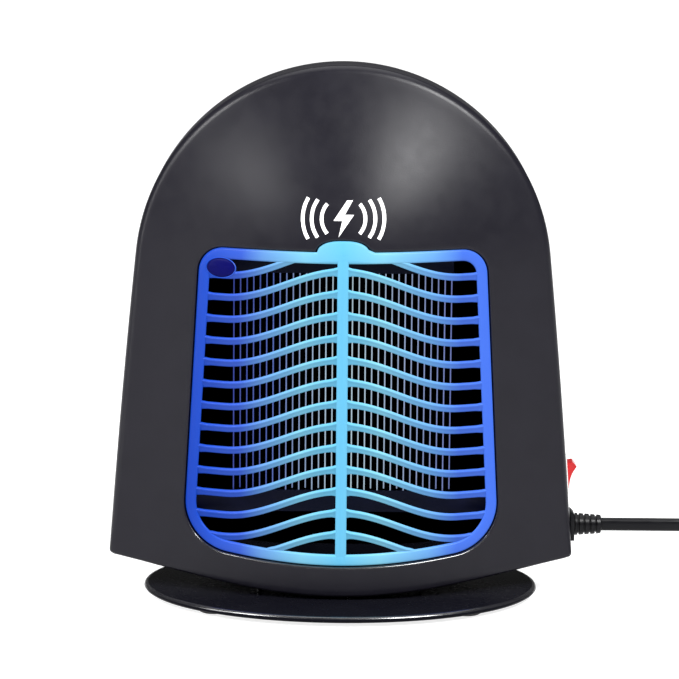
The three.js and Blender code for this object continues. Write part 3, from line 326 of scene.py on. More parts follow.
# %% The lead
profile_data = bpy.data.curves.new("lead_profile", "CURVE")
profile_data.dimensions = "2D"
profile_line = profile_data.splines.new("POLY")
CORE_RADIUS, CORE_OFFSET = 2.25, 1.2
lobes = []
for side in (1, -1):
    for k in range(9):
        angle = math.radians(-78 + 156 * k / 8)
        across = side * (CORE_OFFSET + CORE_RADIUS * math.cos(angle))
        lobes.append((across, side * CORE_RADIUS * math.sin(angle)))
profile_line.points.add(len(lobes) - 1)
for point, (a, b) in zip(profile_line.points, lobes):
    point.co = (b * MM, a * MM, 0, 1)
profile_line.use_cyclic_u = True
profile = bpy.data.objects.new("lead_profile", profile_data)
lead_data = bpy.data.curves.new("mains_lead", "CURVE")
lead_data.dimensions = "3D"
lead_data.twist_mode = "Z_UP"
lead_data.bevel_mode = "OBJECT"
lead_data.bevel_object = profile
lead_data.use_fill_caps = True
lead_line = lead_data.splines.new("POLY")
lead_line.points.add(len(lead_points) - 1)
for point, place in zip(lead_line.points, lead_points):
    point.co = (*(c * MM for c in place), 1)
lead_line.use_smooth = True
lead_data.materials.append(cord_vinyl)
mains_lead = bpy.data.objects.new("mains_lead", lead_data)
scene.collection.objects.link(mains_lead)
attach(mains_lead, "housing")
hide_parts("cord_run", "cord_coil", "cord_tail")
print("lead points", len(lead_points))

# %% [markdown]
# ## Strain relief
# The relief is a moulded rubber sleeve: a square flange against the housing, then rings with
# gaps between them, so that it bends evenly instead of kinking the cores. A profile of rings
# is spun once round the lead's axis. The flange is drawn from the side, with its upper corner
# cut away, carried across and eased.

# %% Strain relief
LEAD_Y, LEAD_Z = 14.0, 33.8
RELIEF_FACE = 120.35
RELIEF_LENGTH, FLANGE_THICK = 14.1, 2.3


def spun(mesh, profile, centre, axis, steps):
    """spins (radius, along) points round an axis through centre"""
    axis = Vector(axis)
    side = axis.orthogonal().normalized()
    corners = [mesh.verts.new(Vector(centre) + side * r + axis * a) for r, a in profile]
    line = [mesh.edges.new(pair) for pair in zip(corners, corners[1:])]
    bmesh.ops.spin(
        mesh, geom=corners + line, cent=centre, axis=axis, angle=2 * math.pi, steps=steps, use_merge=True
    )
    bmesh.ops.remove_doubles(mesh, verts=mesh.verts, dist=1e-4)


def eased_box(mesh, low, high, edge, segments=3):
    made = bmesh.ops.create_cube(mesh, size=1)["verts"]
    size = [b - a for a, b in zip(low, high)]
    bmesh.ops.scale(mesh, vec=size, verts=made)
    bmesh.ops.translate(mesh, vec=[(a + b) / 2 for a, b in zip(low, high)], verts=made)
    edges = list({e for v in made for e in v.link_edges})
    bmesh.ops.bevel(
        mesh, geom=edges, offset=edge, affect="EDGES", segments=segments, profile=0.5, material=-1
    )


mesh = bmesh.new()
relief = [(0, 0.2), (5.0, 0.2), (5.0, 2.6), (5.9, 2.8)]
RINGS = 4
pitch = RELIEF_LENGTH / (RINGS + 0.6)
for i in range(RINGS):
    along = FLANGE_THICK + pitch * (i + 0.55)
    r = 5.95 - 1.05 * (along - FLANGE_THICK) / RELIEF_LENGTH
    relief += [(r, along - 0.1), (r - 0.2, along + 0.05), (r - 0.95, along + 0.15)]
    relief += [(r - 0.95, along + 0.8), (r - 0.25, along + 0.9), (r - 0.05, along + 1.05)]
relief += [(4.9, 15.9), (4.8, 16.2), (4.5, 16.4), (0, 16.4)]
spun(mesh, relief, (RELIEF_FACE, LEAD_Y, LEAD_Z), (1, 0, 0), 40)
side_view = [(0, -7.8), (FLANGE_THICK, -7.8), (FLANGE_THICK, 6.0), (0.7, 7.5), (0, 7.8)]
ring = [(RELIEF_FACE + x, LEAD_Y - 6.5, LEAD_Z + z) for x, z in side_view]
near, far = carried(mesh, ring, (0, 13, 0))
flange_edges = list({e for v in far + near for e in v.link_edges})
bmesh.ops.bevel(
    mesh, geom=flange_edges, offset=0.4, affect="EDGES", segments=2, profile=0.5, material=-1
)
relief_piece = hand_over(
    "strain_relief_finish", mesh, cord_vinyl, "housing", ("strain_relief",)
)
print("relief", len(relief), "profile points")

# %% [markdown]
# ## Plug
# A two-blade plug is a block of hard vinyl moulded over the blades and the end of the lead,
# wide at its face and narrow at the cord, with finger hollows on its sides. Its outline is
# drawn once, extruded to its height and beveled. The blades are plain brass strips; the usual
# small hole near the tip is left out.

# %% Plug
mesh = bmesh.new()
plug_outline = [
    (-3.6, 0.2), (3.6, 0.2), (4.6, 4), (4.9, 9), (7.5, 11.2), (11.0, 14), (11.6, 17), (10.9, 21),
    (11.4, 25), (11.2, 28.3), (-11.2, 28.3), (-11.4, 25), (-10.9, 21), (-11.6, 17), (-11.0, 14),
    (-7.5, 11.2), (-4.9, 9), (-4.6, 4),
]
carried(mesh, [(x + PLUG_X, y + PLUG_Y, 0.0) for x, y in plug_outline], (0, 0, 13))
rims = [e for e in mesh.edges if abs(e.verts[0].co.z - e.verts[1].co.z) < 1e-6]
bmesh.ops.bevel(mesh, geom=rims, offset=2.4, affect="EDGES", segments=4, profile=0.5, material=-1)
plug = hand_over("plug_finish", mesh, cord_vinyl, "housing", ("plug_body",), crisp=45)
blade_brass = surface(
    "blade_brass", (0.52, 0.36, 0.14), (0.62, 0.46, 0.20), (0.18, 0.32), (2500, 0.01), metal=1.0
)
for i, side in enumerate((-1, 1)):
    mesh = bmesh.new()
    middle = PLUG_X + side * 6.35
    eased_box(mesh, (middle - 0.75, 51.1, 3.35), (middle + 0.75, 68.1, 9.65), 0.4, 2)
    name = f"plug_blade_{i + 1}"
    hand_over(name + "_finish", mesh, blade_brass, "housing", (name,))

# %% [markdown]
# ## The housing's form
# Seen from the front the housing is an arch that widens a little towards its corners, over a
# bottom edge that sags to the middle. Its skin is a pillow: fullest along the middle line and
# flaring out flat to the rim. These few formulas give that form, in millimetres, and all the
# pieces that follow it use them.

# %% Form
HALF_WIDTH, TOP, ARCH, LEAN = 120.4, 275.5, 107.0, math.radians(6)
CORNER, KEEL = 21.0, 7.0
ARCH_Z = TOP - ARCH


def side_half_width(z):
    start_x = ARCH * math.cos(LEAN)
    start_z = ARCH_Z + ARCH * math.sin(LEAN)
    drop, full, slope = start_z - z, start_z - CORNER, math.tan(LEAN)
    bend = (start_x + slope * full - HALF_WIDTH) / full**2
    return start_x + slope * drop - bend * drop**2


def keel(x):
    t = min(abs(x) / HALF_WIDTH, 1) ** 2
    return KEEL + (CORNER - KEEL) * t * (1.3 - 0.3 * t)


def spread(x, z):
    """0 on the middle line, 1 on the outline"""
    if z > ARCH_Z + abs(x) * math.tan(LEAN):
        return min(math.hypot(x, z - ARCH_Z) / ARCH, 1)
    return min(abs(x) / side_half_width(z), 1)


def crown(u):
    return 0.5 * (1 - u * u) + 0.5 * math.cos(math.pi / 2 * u) ** 2


def front_y(x, z):
    return -(8 + 35 * crown(spread(x, z)))


def rear_y(x, z):
    return 26 + 22 * crown(spread(x, z))


def round_off(distance, radius):
    into = max(0.0, radius - distance)
    return radius - math.sqrt(max(radius**2 - into**2, 0))


print("depth at the middle", front_y(0, 150), rear_y(0, 150))

# %% Outlines
BEND_X, SIDE_LOW_Z = 118.0, 23.5


def body_outline():
    top = ARCH_Z + ARCH * math.sin(LEAN)
    levels = [SIDE_LOW_Z + (top - SIDE_LOW_Z) * i / 26 for i in range(26)]
    half = [(side_half_width(z), z) for z in levels]
    for i in range(49):
        angle = LEAN + (math.pi / 2 - LEAN) * i / 48
        half.append((ARCH * math.cos(angle), ARCH_Z + ARCH * math.sin(angle)))
    a, corner, b = Vector((BEND_X, keel(BEND_X))), Vector((HALF_WIDTH, CORNER)), Vector(half[0])
    shares = [i / 6 for i in range(6)]
    bend = [tuple((1 - t) ** 2 * a + 2 * t * (1 - t) * corner + t * t * b) for t in shares]
    bottom = [(x, keel(x)) for x in (BEND_X * i / 30 for i in range(30))]
    half = bottom + bend + half
    return half + [(-x, z) for x, z in reversed(half[1:-1])]


def arc(cx, cz, radius, start, end, steps):
    angles = [start + (end - start) * i / steps for i in range(steps + 1)]
    return [(cx + radius * math.cos(a), cz + radius * math.sin(a)) for a in angles]


def grille_outline(offset, tab=False):
    """the grille's edge moved outwards by offset, from the middle of its bottom round"""
    low, high, wide, narrow, flat = 23.4, 184, 80, 73.4, 60
    down, smile, corner, top = -math.pi / 2, 420.0, 25.0, 13.0
    sweep = math.asin((wide - corner) / (smile - corner))
    corner_z = low + smile - math.sqrt((smile - corner) ** 2 - (wide - corner) ** 2)
    lean = math.atan((wide - narrow) / (high - top - corner_z))
    half = arc(0, low + smile, smile + offset, down, down + sweep, 24)
    half += arc(wide - corner, corner_z, corner + offset, down + sweep, lean, 24)[1:]
    half += arc(narrow - top, high - top, top + offset, lean, math.pi / 2, 16)
    if tab:
        reach, height = 13.2 + offset, 5.7
        half += [(flat - (flat - reach) * i / 8, high + offset) for i in range(1, 8)]
        for i in range(17):
            angle = math.pi / 2 * i / 16
            x = reach * math.cos(angle) ** 0.75
            half.append((x, high + offset + height * math.sin(angle) ** 1.15))
    else:
        half += [(flat - flat * i / 12, high + offset) for i in range(1, 13)]
    return half + [(-x, z) for x, z in reversed(half[1:-1])]


CENTRE = (0.0, 102.0)


def cast(angle, outline):
    """where a ray from the centre crosses an outline"""
    dx, dz = math.cos(angle), math.sin(angle)
    best = None
    for (ax, az), (bx, bz) in zip(outline, outline[1:] + outline[:1]):
        ex, ez = bx - ax, bz - az
        det = ex * dz - ez * dx
        if abs(det) < 1e-12:
            continue
        px, pz = ax - CENTRE[0], az - CENTRE[1]
        far = (ex * pz - ez * px) / det
        along = (dx * pz - dz * px) / det
        if far > 0 and -1e-9 <= along <= 1 + 1e-9 and (best is None or far > best):
            best = far
    return CENTRE[0] + best * dx, CENTRE[1] + best * dz


def angles_of(outline):
    return [math.atan2(z - CENTRE[1], x - CENTRE[0]) for x, z in outline]


def rays_of(outer, inner):
    """the directions of both outlines' points, without those that nearly coincide"""
    found = sorted(set(round(a, 5) for a in angles_of(outer) + angles_of(inner)))
    return [a for a, b in zip(found, found[1:] + [found[0] + 2 * math.pi]) if b - a > 0.004]


outer_line = body_outline()
opening_line = grille_outline(0.7, tab=True)
rays = rays_of(outer_line, opening_line)
outer_ring = [cast(a, outer_line) for a in rays]
opening_ring = [cast(a, opening_line) for a in rays]
print("rays", len(rays), "outline points", len(outer_line), len(opening_line))

# %% [markdown]
# ## Front shell
# The front shell is one moulding, 2 mm thick, with a large opening whose edge turns inwards
# as a collar. It is built as rings of points between the opening and the outline, bridged one
# to the next, so the faces flow round the opening and the highlights stay clean. The rims are
# rounded by moving the rings that lie near them, and Solidify gives the wall.

# %% Front shell
def between(inner, outer, from_inner=None, from_outer=None, share=None):
    (ax, az), (bx, bz) = inner, outer
    length = math.hypot(bx - ax, bz - az)
    near, far = 1.0 / length, 1 - 4.0 / length
    if from_inner is not None:
        t = from_inner / length
    elif from_outer is not None:
        t = 1 - from_outer / length
    else:
        t = near + (far - near) * share
    return ax + (bx - ax) * t, az + (bz - az) * t


def rim_radius(z):
    t = min(max((z - 20) / 25, 0), 1)
    return 2.0 + 1.5 * t * t * (3 - 2 * t)


COLLAR_Y = -14.4


def front_rings():
    rings = [[(x, COLLAR_Y, z) for x, z in opening_ring]]
    rings.append([(x, (front_y(x, z) + 1.0 + COLLAR_Y) / 2, z) for x, z in opening_ring])
    for distance in (0.0, 0.08, 0.3, 0.62, 1.0):
        places = [between(a, b, from_inner=distance) for a, b in zip(opening_ring, outer_ring)]
        rings.append([(x, front_y(x, z) + round_off(distance, 1.0), z) for x, z in places])
    for k in range(1, 25):
        places = [between(a, b, share=k / 24) for a, b in zip(opening_ring, outer_ring)]
        rings.append([(x, front_y(x, z), z) for x, z in places])
    for part in (0.8, 0.55, 0.34, 0.17, 0.06, 0.0):
        ring = []
        for a, b in zip(opening_ring, outer_ring):
            radius = rim_radius(b[1])
            x, z = between(a, b, from_outer=part * radius)
            ring.append((x, front_y(x, z) + round_off(part * radius, radius), z))
        rings.append(ring)
    rings.append([(x, front_y(x, z) * 0.45, z) for x, z in outer_ring])
    rings.append([(x, -0.35, z) for x, z in outer_ring])
    rings.append([(x * 0.998, 0.0, z + 0.3 * (1 if z < 60 else -1)) for x, z in outer_ring])
    return rings


mesh = bmesh.new()
bridge(mesh, front_rings())
front_shell = hand_over(
    "front_shell_finish", mesh, satin_black, "housing", ("front_shell",), 50
)
# The lower part of the opening's edge gets the glossier rim black, a painted highlight line along the bottom
# of the opening.
front_shell.data.materials.append(rim_painted_sheen)
for polygon in front_shell.data.polygons[: 6 * len(rays)]:
    if polygon.center.z < 36 * MM:
        polygon.material_index = 1
wall = front_shell.modifiers.new("wall", "SOLIDIFY")
wall.thickness = 2.0 * MM
wall.offset = -1
print("front shell faces", len(front_shell.data.polygons))

# %% [markdown]
# ## Rear shell
# The rear shell closes the housing. Its skin is one sheet from the seam round to the middle
# of the back, built as rings that shrink towards a centre. Solidify gives the wall, and then
# the openings are cut with Boolean modifiers, as a mould's cores would leave them: cooling
# slots, the drawer's opening, the wells of the screws, the switch and the strain relief. A
# tongue runs round inside the seam, so that no light falls through it.

# %% Cutting helper
def cutter(mesh):
    bmesh.ops.recalc_face_normals(mesh, faces=mesh.faces)
    bmesh.ops.scale(mesh, vec=(MM, MM, MM), verts=mesh.verts)
    data = bpy.data.meshes.new("cutter")
    mesh.to_mesh(data)
    mesh.free()
    obj = bpy.data.objects.new("cutter", data)
    scene.collection.objects.link(obj)
    return obj


def settle(obj):
    """applies an object's modifiers to its mesh"""
    shown = obj.evaluated_get(bpy.context.evaluated_depsgraph_get())
    settled = bpy.data.meshes.new_from_object(shown)
    obj.modifiers.clear()
    obj.data = settled


def carve(obj, cutters, crisp=32):
    for tool in cutters:
        cut = obj.modifiers.new("cut", "BOOLEAN")
        cut.operation = "DIFFERENCE"
        cut.solver = "EXACT"
        cut.object = tool
    settle(obj)
    for tool in cutters:
        bpy.data.objects.remove(tool)
    obj.data.set_sharp_from_angle(angle=math.radians(crisp))


def plate(outline, low, high):
    """an outline of (x, z) pairs carried from y = low to y = high, as a bmesh"""
    mesh = bmesh.new()
    carried(mesh, [(x, low, z) for x, z in outline], (0, high - low, 0))
    return mesh


def pill(x, z, half_length, half_height, steps=8):
    right_end = arc(x + half_length - half_height, z, half_height, -math.pi / 2, math.pi / 2, steps)
    left_end = arc(x - half_length + half_height, z, half_height, math.pi / 2, 1.5 * math.pi, steps)
    return right_end + left_end


print("cutting helpers ready")

# %% Rear shell
SHELL_SCREWS = [(-99, 96), (99, 96), (-82, 212), (82, 212), (0, TOP - 17.5)]
mesh = bmesh.new()
rings = [[(x * 0.998, 1.0, z + 0.3 * (1 if z < 60 else -1)) for x, z in outer_ring]]
rings.append([(x, 1.35, z) for x, z in outer_ring])
rings.append([(x, 12.0, z) for x, z in outer_ring])
for part in (0.0, 0.06, 0.17, 0.34, 0.55, 0.8):
    ring = []
    for x, z in outer_ring:
        radius = rim_radius(z)
        a, b = between(CENTRE, (x, z), from_outer=part * radius)
        ring.append((a, rear_y(a, b) - round_off(part * radius, radius), b))
    rings.append(ring)
for k in range(24, 0, -1):
    share = k / 24
    inward = [4 + (math.dist(p, CENTRE) - 4) * (1 - share) for p in outer_ring]
    places = [between(CENTRE, p, from_outer=d) for p, d in zip(outer_ring, inward)]
    rings.append([(x, rear_y(x, z), z) for x, z in places])
bridge(mesh, rings)
cap_edges = [e for e in mesh.edges if e.is_boundary and e.verts[0].co.y > 30]
hub = bmesh.ops.edgeloop_fill(mesh, edges=cap_edges)["faces"]
bmesh.ops.poke(mesh, faces=hub)
rear_shell = hand_over(
    "rear_shell_finish", mesh, satin_black, "housing", ("rear_shell",), 50
)
wall = rear_shell.modifiers.new("wall", "SOLIDIFY")
wall.thickness = 2.4 * MM
wall.offset = -1
settle(rear_shell)
print("rear skin", len(rear_shell.data.polygons), "faces")

# %% Tongue inside the seam
mesh = bmesh.new()
tongue = []
for inset, y in ((3.4, -3.0), (3.4, 4.0), (4.9, 4.0), (4.9, -3.0)):
    tongue.append([(x, y, z) for x, z in (between(CENTRE, p, from_outer=inset) for p in outer_ring)])
bridge(mesh, tongue, closed=True)
seam_tongue = hand_over("seam_tongue", mesh, satin_black, "housing")
print("tongue", len(seam_tongue.data.polygons), "faces")

# %% Openings in the rear shell
slots = [(122 + step * 9, 34 - step**2 * 0.9) for step in range(-4, 5)]
tools = [cutter(plate(pill(0, z, half, 1.8), 25, 60)) for z, half in slots]
drawer_line = [(x, z) for x, z in grille_outline(0.7) if x >= 0 and z < 42.3]
drawer_line.append((drawer_line[-1][0], 42.4))
drawer_line += [(-x, z) for x, z in reversed(drawer_line[1:])]
tools.append(cutter(plate(drawer_line, 20, 70)))
for x, z in SHELL_SCREWS:
    mesh = bmesh.new()
    spun(mesh, [(0, -14), (3.1, -14), (3.1, 60), (0, 60)], (x, 13, z), (0, 1, 0), 24)
    tools.append(cutter(mesh))
SWITCH = Vector((side_half_width(61.5), 14.0, 61.5))
SWITCH_LEAN = math.atan(side_half_width(62.0) - side_half_width(61.0))
mesh = bmesh.new()
eased_box(mesh, (-20, -6.5, -9.6), (10, 6.5, 9.6), 0.5, 1)
bmesh.ops.rotate(mesh, cent=(0, 0, 0), matrix=Matrix.Rotation(SWITCH_LEAN, 3, "Y"), verts=mesh.verts)
bmesh.ops.translate(mesh, vec=SWITCH, verts=mesh.verts)
tools.append(cutter(mesh))
mesh = bmesh.new()
spun(mesh, [(0, 0), (5.3, 0), (5.3, 30), (0, 30)], (100, LEAD_Y, LEAD_Z), (1, 0, 0), 32)
tools.append(cutter(mesh))
carve(rear_shell, tools, 40)
print("rear shell", len(rear_shell.data.polygons), "faces after", len(tools), "cuts")

# %% [markdown]
# The screws sit at the bottom of deep wells, so that a long driver reaches them. Each well is
# a tube moulded with the shell, made here as a spun sleeve, and each screw has a domed head
# with a cross recess, which two crossed cutters leave in it.

# %% Screw wells and screws
well_parts = bmesh.new()
for x, z in SHELL_SCREWS:
    back = rear_y(x, z) - 1.6
    sleeve = [(3.1, 12), (4.6, 12), (4.6, back), (3.1, back), (3.1, 12)]
    spun(well_parts, sleeve, (x, 0, z), (0, 1, 0), 24)
hand_over("screw_wells", well_parts, satin_black, "housing")
screw_steel = surface(
    "screw_zinc", (0.28, 0.28, 0.29), (0.42, 0.42, 0.44), (0.25, 0.42), (3000, 0.01), metal=1.0
)


def screw(name, seat, axis, head, shank, height, length, replaced):
    """a pan-head screw: axis points out of its seat"""
    mesh = bmesh.new()
    line = [(0, -length), (shank * 0.4, -length + 0.2), (shank, -length + 2.0), (shank, 0), (head, 0)]
    line += [(head, height * 0.45), (head * 0.82, height * 0.8), (head * 0.5, height * 0.96), (0, height)]
    spun(mesh, line, seat, axis, 24)
    obj = hand_over(name, mesh, screw_steel, "housing", (replaced,))
    out = Vector(axis)
    side = out.orthogonal().normalized()
    across = out.cross(side)
    tools = []
    for a, b in ((side, across), (across, side)):
        mesh = bmesh.new()
        made = bmesh.ops.create_cube(mesh, size=1)["verts"]
        frame_turn = Matrix((a * head * 1.1, b * head * 0.3, out * height)).transposed()
        bmesh.ops.transform(mesh, matrix=frame_turn.to_4x4(), verts=made)
        bmesh.ops.translate(mesh, vec=Vector(seat) + out * height * 0.95, verts=made)
        tools.append(cutter(mesh))
    carve(obj, tools)
    return obj


for i, (x, z) in enumerate(SHELL_SCREWS):
    name = f"shell_screw_{i + 1}"
    screw(name + "_finish", (x, 12.3, z), (0, 1, 0), 2.8, 1.5, 2.2, 20, name)
FOOT_SCREWS = [(-42, -18), (42, -18), (-42, 18), (42, 18)]
for i, (x, y) in enumerate(FOOT_SCREWS):
    name = f"foot_screw_{i + 1}"
    screw(name + "_finish", (x, y, 4.2), (0, 0, -1), 2.8, 1.5, 2.2, keel(x) + 3.8, name)
for i, (x, z) in enumerate(((-41, 154), (41, 90))):
    name = f"board_screw_{i + 1}"
    screw(name + "_finish", (x, 23.2, z), (0, 1, 0), 2.3, 1.2, 1.8, 4.6, name)
print("screws", len(SHELL_SCREWS) + len(FOOT_SCREWS) + 2)

# %% [markdown]
# ## Foot
# The foot is a wide oval disc of gloss plastic with a soft edge, so it reads as one thin dark
# line with a bright rim; the band round its rim gets a glossier black than the rest, a painted
# sheen for that bright line. A round disc is spun and then squeezed to the oval. Under the
# housing it carries a saddle whose top follows the sagging bottom edge. Four rubber pads sit
# in shallow seats beneath.

# %% Foot
mesh = bmesh.new()
W, D = 102.4, 76.9
disc = [(0, 2.0), (W - 3.2, 2.0), (W - 1.6, 2.25), (W - 0.5, 2.9), (W, 3.7), (W - 0.12, 4.3)]
disc += [(W - 0.5, 4.85), (W - 1.1, 5.2), (W - 1.9, 5.42), (W - 3.0, 5.5), (W * 0.6, 5.5), (0, 5.5)]
spun(mesh, disc, (0, 0, 0), (0, 0, 1), 128)
bmesh.ops.scale(mesh, vec=(1, D / W, 1), verts=mesh.verts)
ring = [(62 * math.cos(math.pi * i / 32), 34 * math.sin(math.pi * i / 32), 4.6) for i in range(64)]
for corner in carried(mesh, ring, (0, 0, 0))[1]:
    corner.co.z = keel(corner.co.x) - 0.3
foot = hand_over("foot_finish", mesh, gloss_black, "housing", ("foot_disc",), 40)
tools = []
PADS = [(-64, -44), (64, -44), (-64, 44), (64, 44)]
for x, y in PADS:
    mesh = bmesh.new()
    spun(mesh, [(0, 0), (8.3, 0), (8.3, 3.5), (0, 3.5)], (x, y, 0), (0, 0, 1), 32)
    tools.append(cutter(mesh))
for x, y in FOOT_SCREWS:
    mesh = bmesh.new()
    spun(mesh, [(0, 0), (3.1, 0), (3.1, 4.5), (0, 4.5)], (x, y, 0), (0, 0, 1), 24)
    tools.append(cutter(mesh))
carve(foot, tools, 40)
# The band round the foot's rim gets the glossier rim black: a painted sheen for its bright rim line.
foot.data.materials.append(rim_painted_sheen)
for polygon in foot.data.polygons:
    x, y, z = (c / MM for c in polygon.center)
    if math.hypot(x / W, y / D) > 0.985 and 4.2 < z < 5.4:
        polygon.material_index = 1
for i, (x, y) in enumerate(PADS):
    mesh = bmesh.new()
    spun(mesh, [(0, 0), (7.2, 0), (7.8, 0.35), (8.0, 1.0), (8.0, 3.2), (0, 3.2)], (x, y, 0), (0, 0, 1), 40)
    hand_over(f"foot_pad_{i + 1}_finish", mesh, pad_rubber, "housing", (f"foot_pad_{i + 1}",))
print("foot", len(foot.data.polygons), "faces")

# %% [markdown]
# ## Grille
# The grille is one translucent blue moulding. The lamp's light through it is painted in as a
# glow: deep blue at its sides and pale cyan along the middle, where the lamp stands behind it.
# A flat band runs round it, with a finger tab on top; an upright rib crosses the middle; and
# bars fall from the rib in a soft S to both sides. The band and the rib are sections with
# rounded corners bridged along their line; a bar's section has a ridge above, which catches
# the light, and leans back below it. The painted glow is stronger on faces turned up, so the
# ridges also carry a painted highlight.
# Where a bar meets the rib or the band it flares, as a moulder rounds such corners so that
# the plastic flows. A low ring stands round the interlock cap.

# %% Grille finish
def painted_glow(name, stops, reach, strength, sheen, shine):
    """painted light: colours from one side to the other, shown as a glow that is stronger on faces turned
    up, a painted top light
    """
    material = surface(name, (0, 0, 0), (0, 0, 0), sheen, (800, 0.015), shine=shine)
    shader = material.node_tree.nodes["Principled BSDF"]
    place = node(material, "ShaderNodeTexCoord")
    parts = node(material, "ShaderNodeSeparateXYZ")
    link(material, place.outputs["Object"], parts.inputs["Vector"])
    cloud = span(material, noise(material, 25, 3), 0.3, 0.7, -0.008, 0.008)
    shifted = node(material, "ShaderNodeMath", operation="ADD")
    link(material, span(material, parts.outputs["X"], -reach * MM, reach * MM, 0, 1), shifted.inputs[0])
    link(material, cloud, shifted.inputs[1])
    # Painted lamp light: the glow's colour runs across x, from the given stops.
    colour = ramp(material, shifted.outputs[0], stops)
    link(material, colour, shader.inputs["Emission Color"])
    body = node(material, "ShaderNodeVectorMath", operation="SCALE")
    body.inputs["Scale"].default_value = 0.16
    link(material, colour, body.inputs[0])
    link(material, body.outputs[0], shader.inputs["Base Color"])
    facing = node(material, "ShaderNodeNewGeometry")
    turned = node(material, "ShaderNodeSeparateXYZ")
    link(material, facing.outputs["Normal"], turned.inputs["Vector"])
    # Painted top light: the glow is stronger on faces turned up.
    low, high = strength
    lit = span(material, turned.outputs["Z"], -0.5, 0.7, low, high)
    link(material, lit, shader.inputs["Emission Strength"])
    return material


# The grille's own blue, with the lamp's light painted on as a glow: deep blue at the sides, pale cyan along
# the middle where the lamp stands.
grille_blue = painted_glow(
    "grille_blue_painted_glow",
    [
        (0.0, (0.006, 0.055, 0.50)),
        (0.075, (0.018, 0.085, 0.62)),
        (0.175, (0.045, 0.125, 0.68)),
        (0.25, (0.14, 0.34, 0.76)),
        (0.375, (0.22, 0.60, 0.83)),
        (0.5, (0.15, 0.57, 0.88)),
        (0.625, (0.24, 0.64, 0.86)),
        (0.78, (0.16, 0.42, 0.86)),
        (0.875, (0.070, 0.19, 0.82)),
        (1.0, (0.062, 0.18, 0.88)),
    ],
    80, (0.48, 1.05), (0.3, 0.38), 0.09,
)
print("grille finish ready")

# %% Grille band, rib and bars
FACE, THICK = 1.0, 3.0
BAND, RIB = 5.5, 5.6
CAP_X, CAP_Z, CAP_SQUEEZE = -62, 174, 4.9 / 7.2


def grille_y(x, z):
    return front_y(x, z) + FACE


def corner_points(width, depth, radius, steps=3):
    """a rounded rectangle of (across, deep) points"""
    points = []
    for cx, cy, start in (
        (width - radius, radius, -90), (width - radius, depth - radius, 0),
        (radius, depth - radius, 90), (radius, radius, 180),
    ):
        for i in range(steps + 1):
            angle = math.radians(start + 90 * i / steps)
            points.append((cx + radius * math.cos(angle), cy + radius * math.sin(angle)))
    return points


def bar_z(n, x):
    t = min(abs(x) / 60.0, 1)
    return 185.66 - 11.26 * n - 7.8 * (1 - math.cos(math.pi * t))


def bar_section(width):
    """(down, deep) points of a bar: a bright ridge above, then a face that leans back"""
    return [
        (0.0, 2.5), (0.0, 0.6), (0.12, 0.25), (0.4, 0.04), (0.8, 0.0), (1.15, 0.12), (1.45, 0.4),
        (width - 0.7, 0.95), (width - 0.25, 1.15), (width, 1.5), (width, 2.5),
    ]


def inside(x, z, outline):
    hit = False
    for (ax, az), (bx, bz) in zip(outline, outline[1:] + outline[:1]):
        if (az > z) != (bz > z) and x < ax + (bx - ax) * (z - az) / (bz - az):
            hit = not hit
    return hit


mesh = bmesh.new()
outer_edge, inner_edge = grille_outline(0, tab=True), grille_outline(-BAND)
band_rays = rays_of(outer_edge, inner_edge)
outer_band = [cast(a, outer_edge) for a in band_rays]
inner_band = [cast(a, inner_edge) for a in band_rays]
rings = []
for across, deep in corner_points(BAND, THICK, 0.9):
    ring = []
    for o, i in zip(outer_band, inner_band):
        length = math.dist(o, i)
        near = min(across, 1.0)
        rest = max(across - 1.0, 0) / (BAND - 1.0)
        x, z = between(o, i, from_inner=near + rest * (length - 1.0))
        ring.append((x, grille_y(x, z) + deep, z))
    rings.append(ring)
bridge(mesh, rings, closed=True)
core = grille_outline(-3.0)
section = [(a - RIB / 2, b) for a, b in corner_points(RIB, THICK - 0.1, 0.8)]
stations = []
for i in range(31):
    z = 24.6 + (183.2 - 24.6) * i / 30
    stations.append([(a, grille_y(a, z) + b, z) for a, b in section])
bridge(mesh, stations, ends=True)


def flare(x, reach):
    return 0.8 * math.exp(-max(abs(x) - 2.8, 0) / 1.0) + 0.4 * math.exp(-max(reach - abs(x), 0) / 0.7)


bar_count = 0
for n in range(14):
    for side in (-1, 1):
        steps = [2.0 + 0.5 * k for k in range(170)]
        kept = [x for x in steps if inside(x, bar_z(n, x), core)]
        if len(kept) < 8:
            continue
        start, end = kept[0], kept[-1]
        reach = end - 2.6
        count = 26
        stations = []
        for i in range(count + 1):
            x = start + (end - start) * i / count
            half = 1.75 + flare(x, reach)
            top = bar_z(n, x) + half
            levels = [(top - a, b + 0.15) for a, b in bar_section(2 * half)]
            stations.append([(side * x, grille_y(x, z) + deep, z) for z, deep in levels])
        bridge(mesh, stations, ends=True)
        bar_count += 1
collar = [(7.3, 0.6), (7.3, -0.1), (7.55, -0.35), (7.9, -0.1), (7.9, 0.6), (7.3, 0.6)]
before = set(mesh.verts)
spun(mesh, [(r, -a) for r, a in collar], (0, 0, 0), (0, -1, 0), 48)
for corner in set(mesh.verts) - before:
    x, z = corner.co.x + CAP_X, corner.co.z * CAP_SQUEEZE + CAP_Z
    corner.co = Vector((x, corner.co.y + grille_y(x, z), z))
grille = hand_over("grille_finish", mesh, grille_blue, "grille", ("front_grille",), 50)
print("bars", bar_count, "grille faces", len(grille.data.polygons))

# %% [markdown]
# ## Interlock cap
# At the grille's upper left a dark oval cap covers the peg that presses the safety switch, so
# that the high voltage is off while the grille is open. Its dome is a spun half profile
# squeezed to an oval and set on the grille's slope.

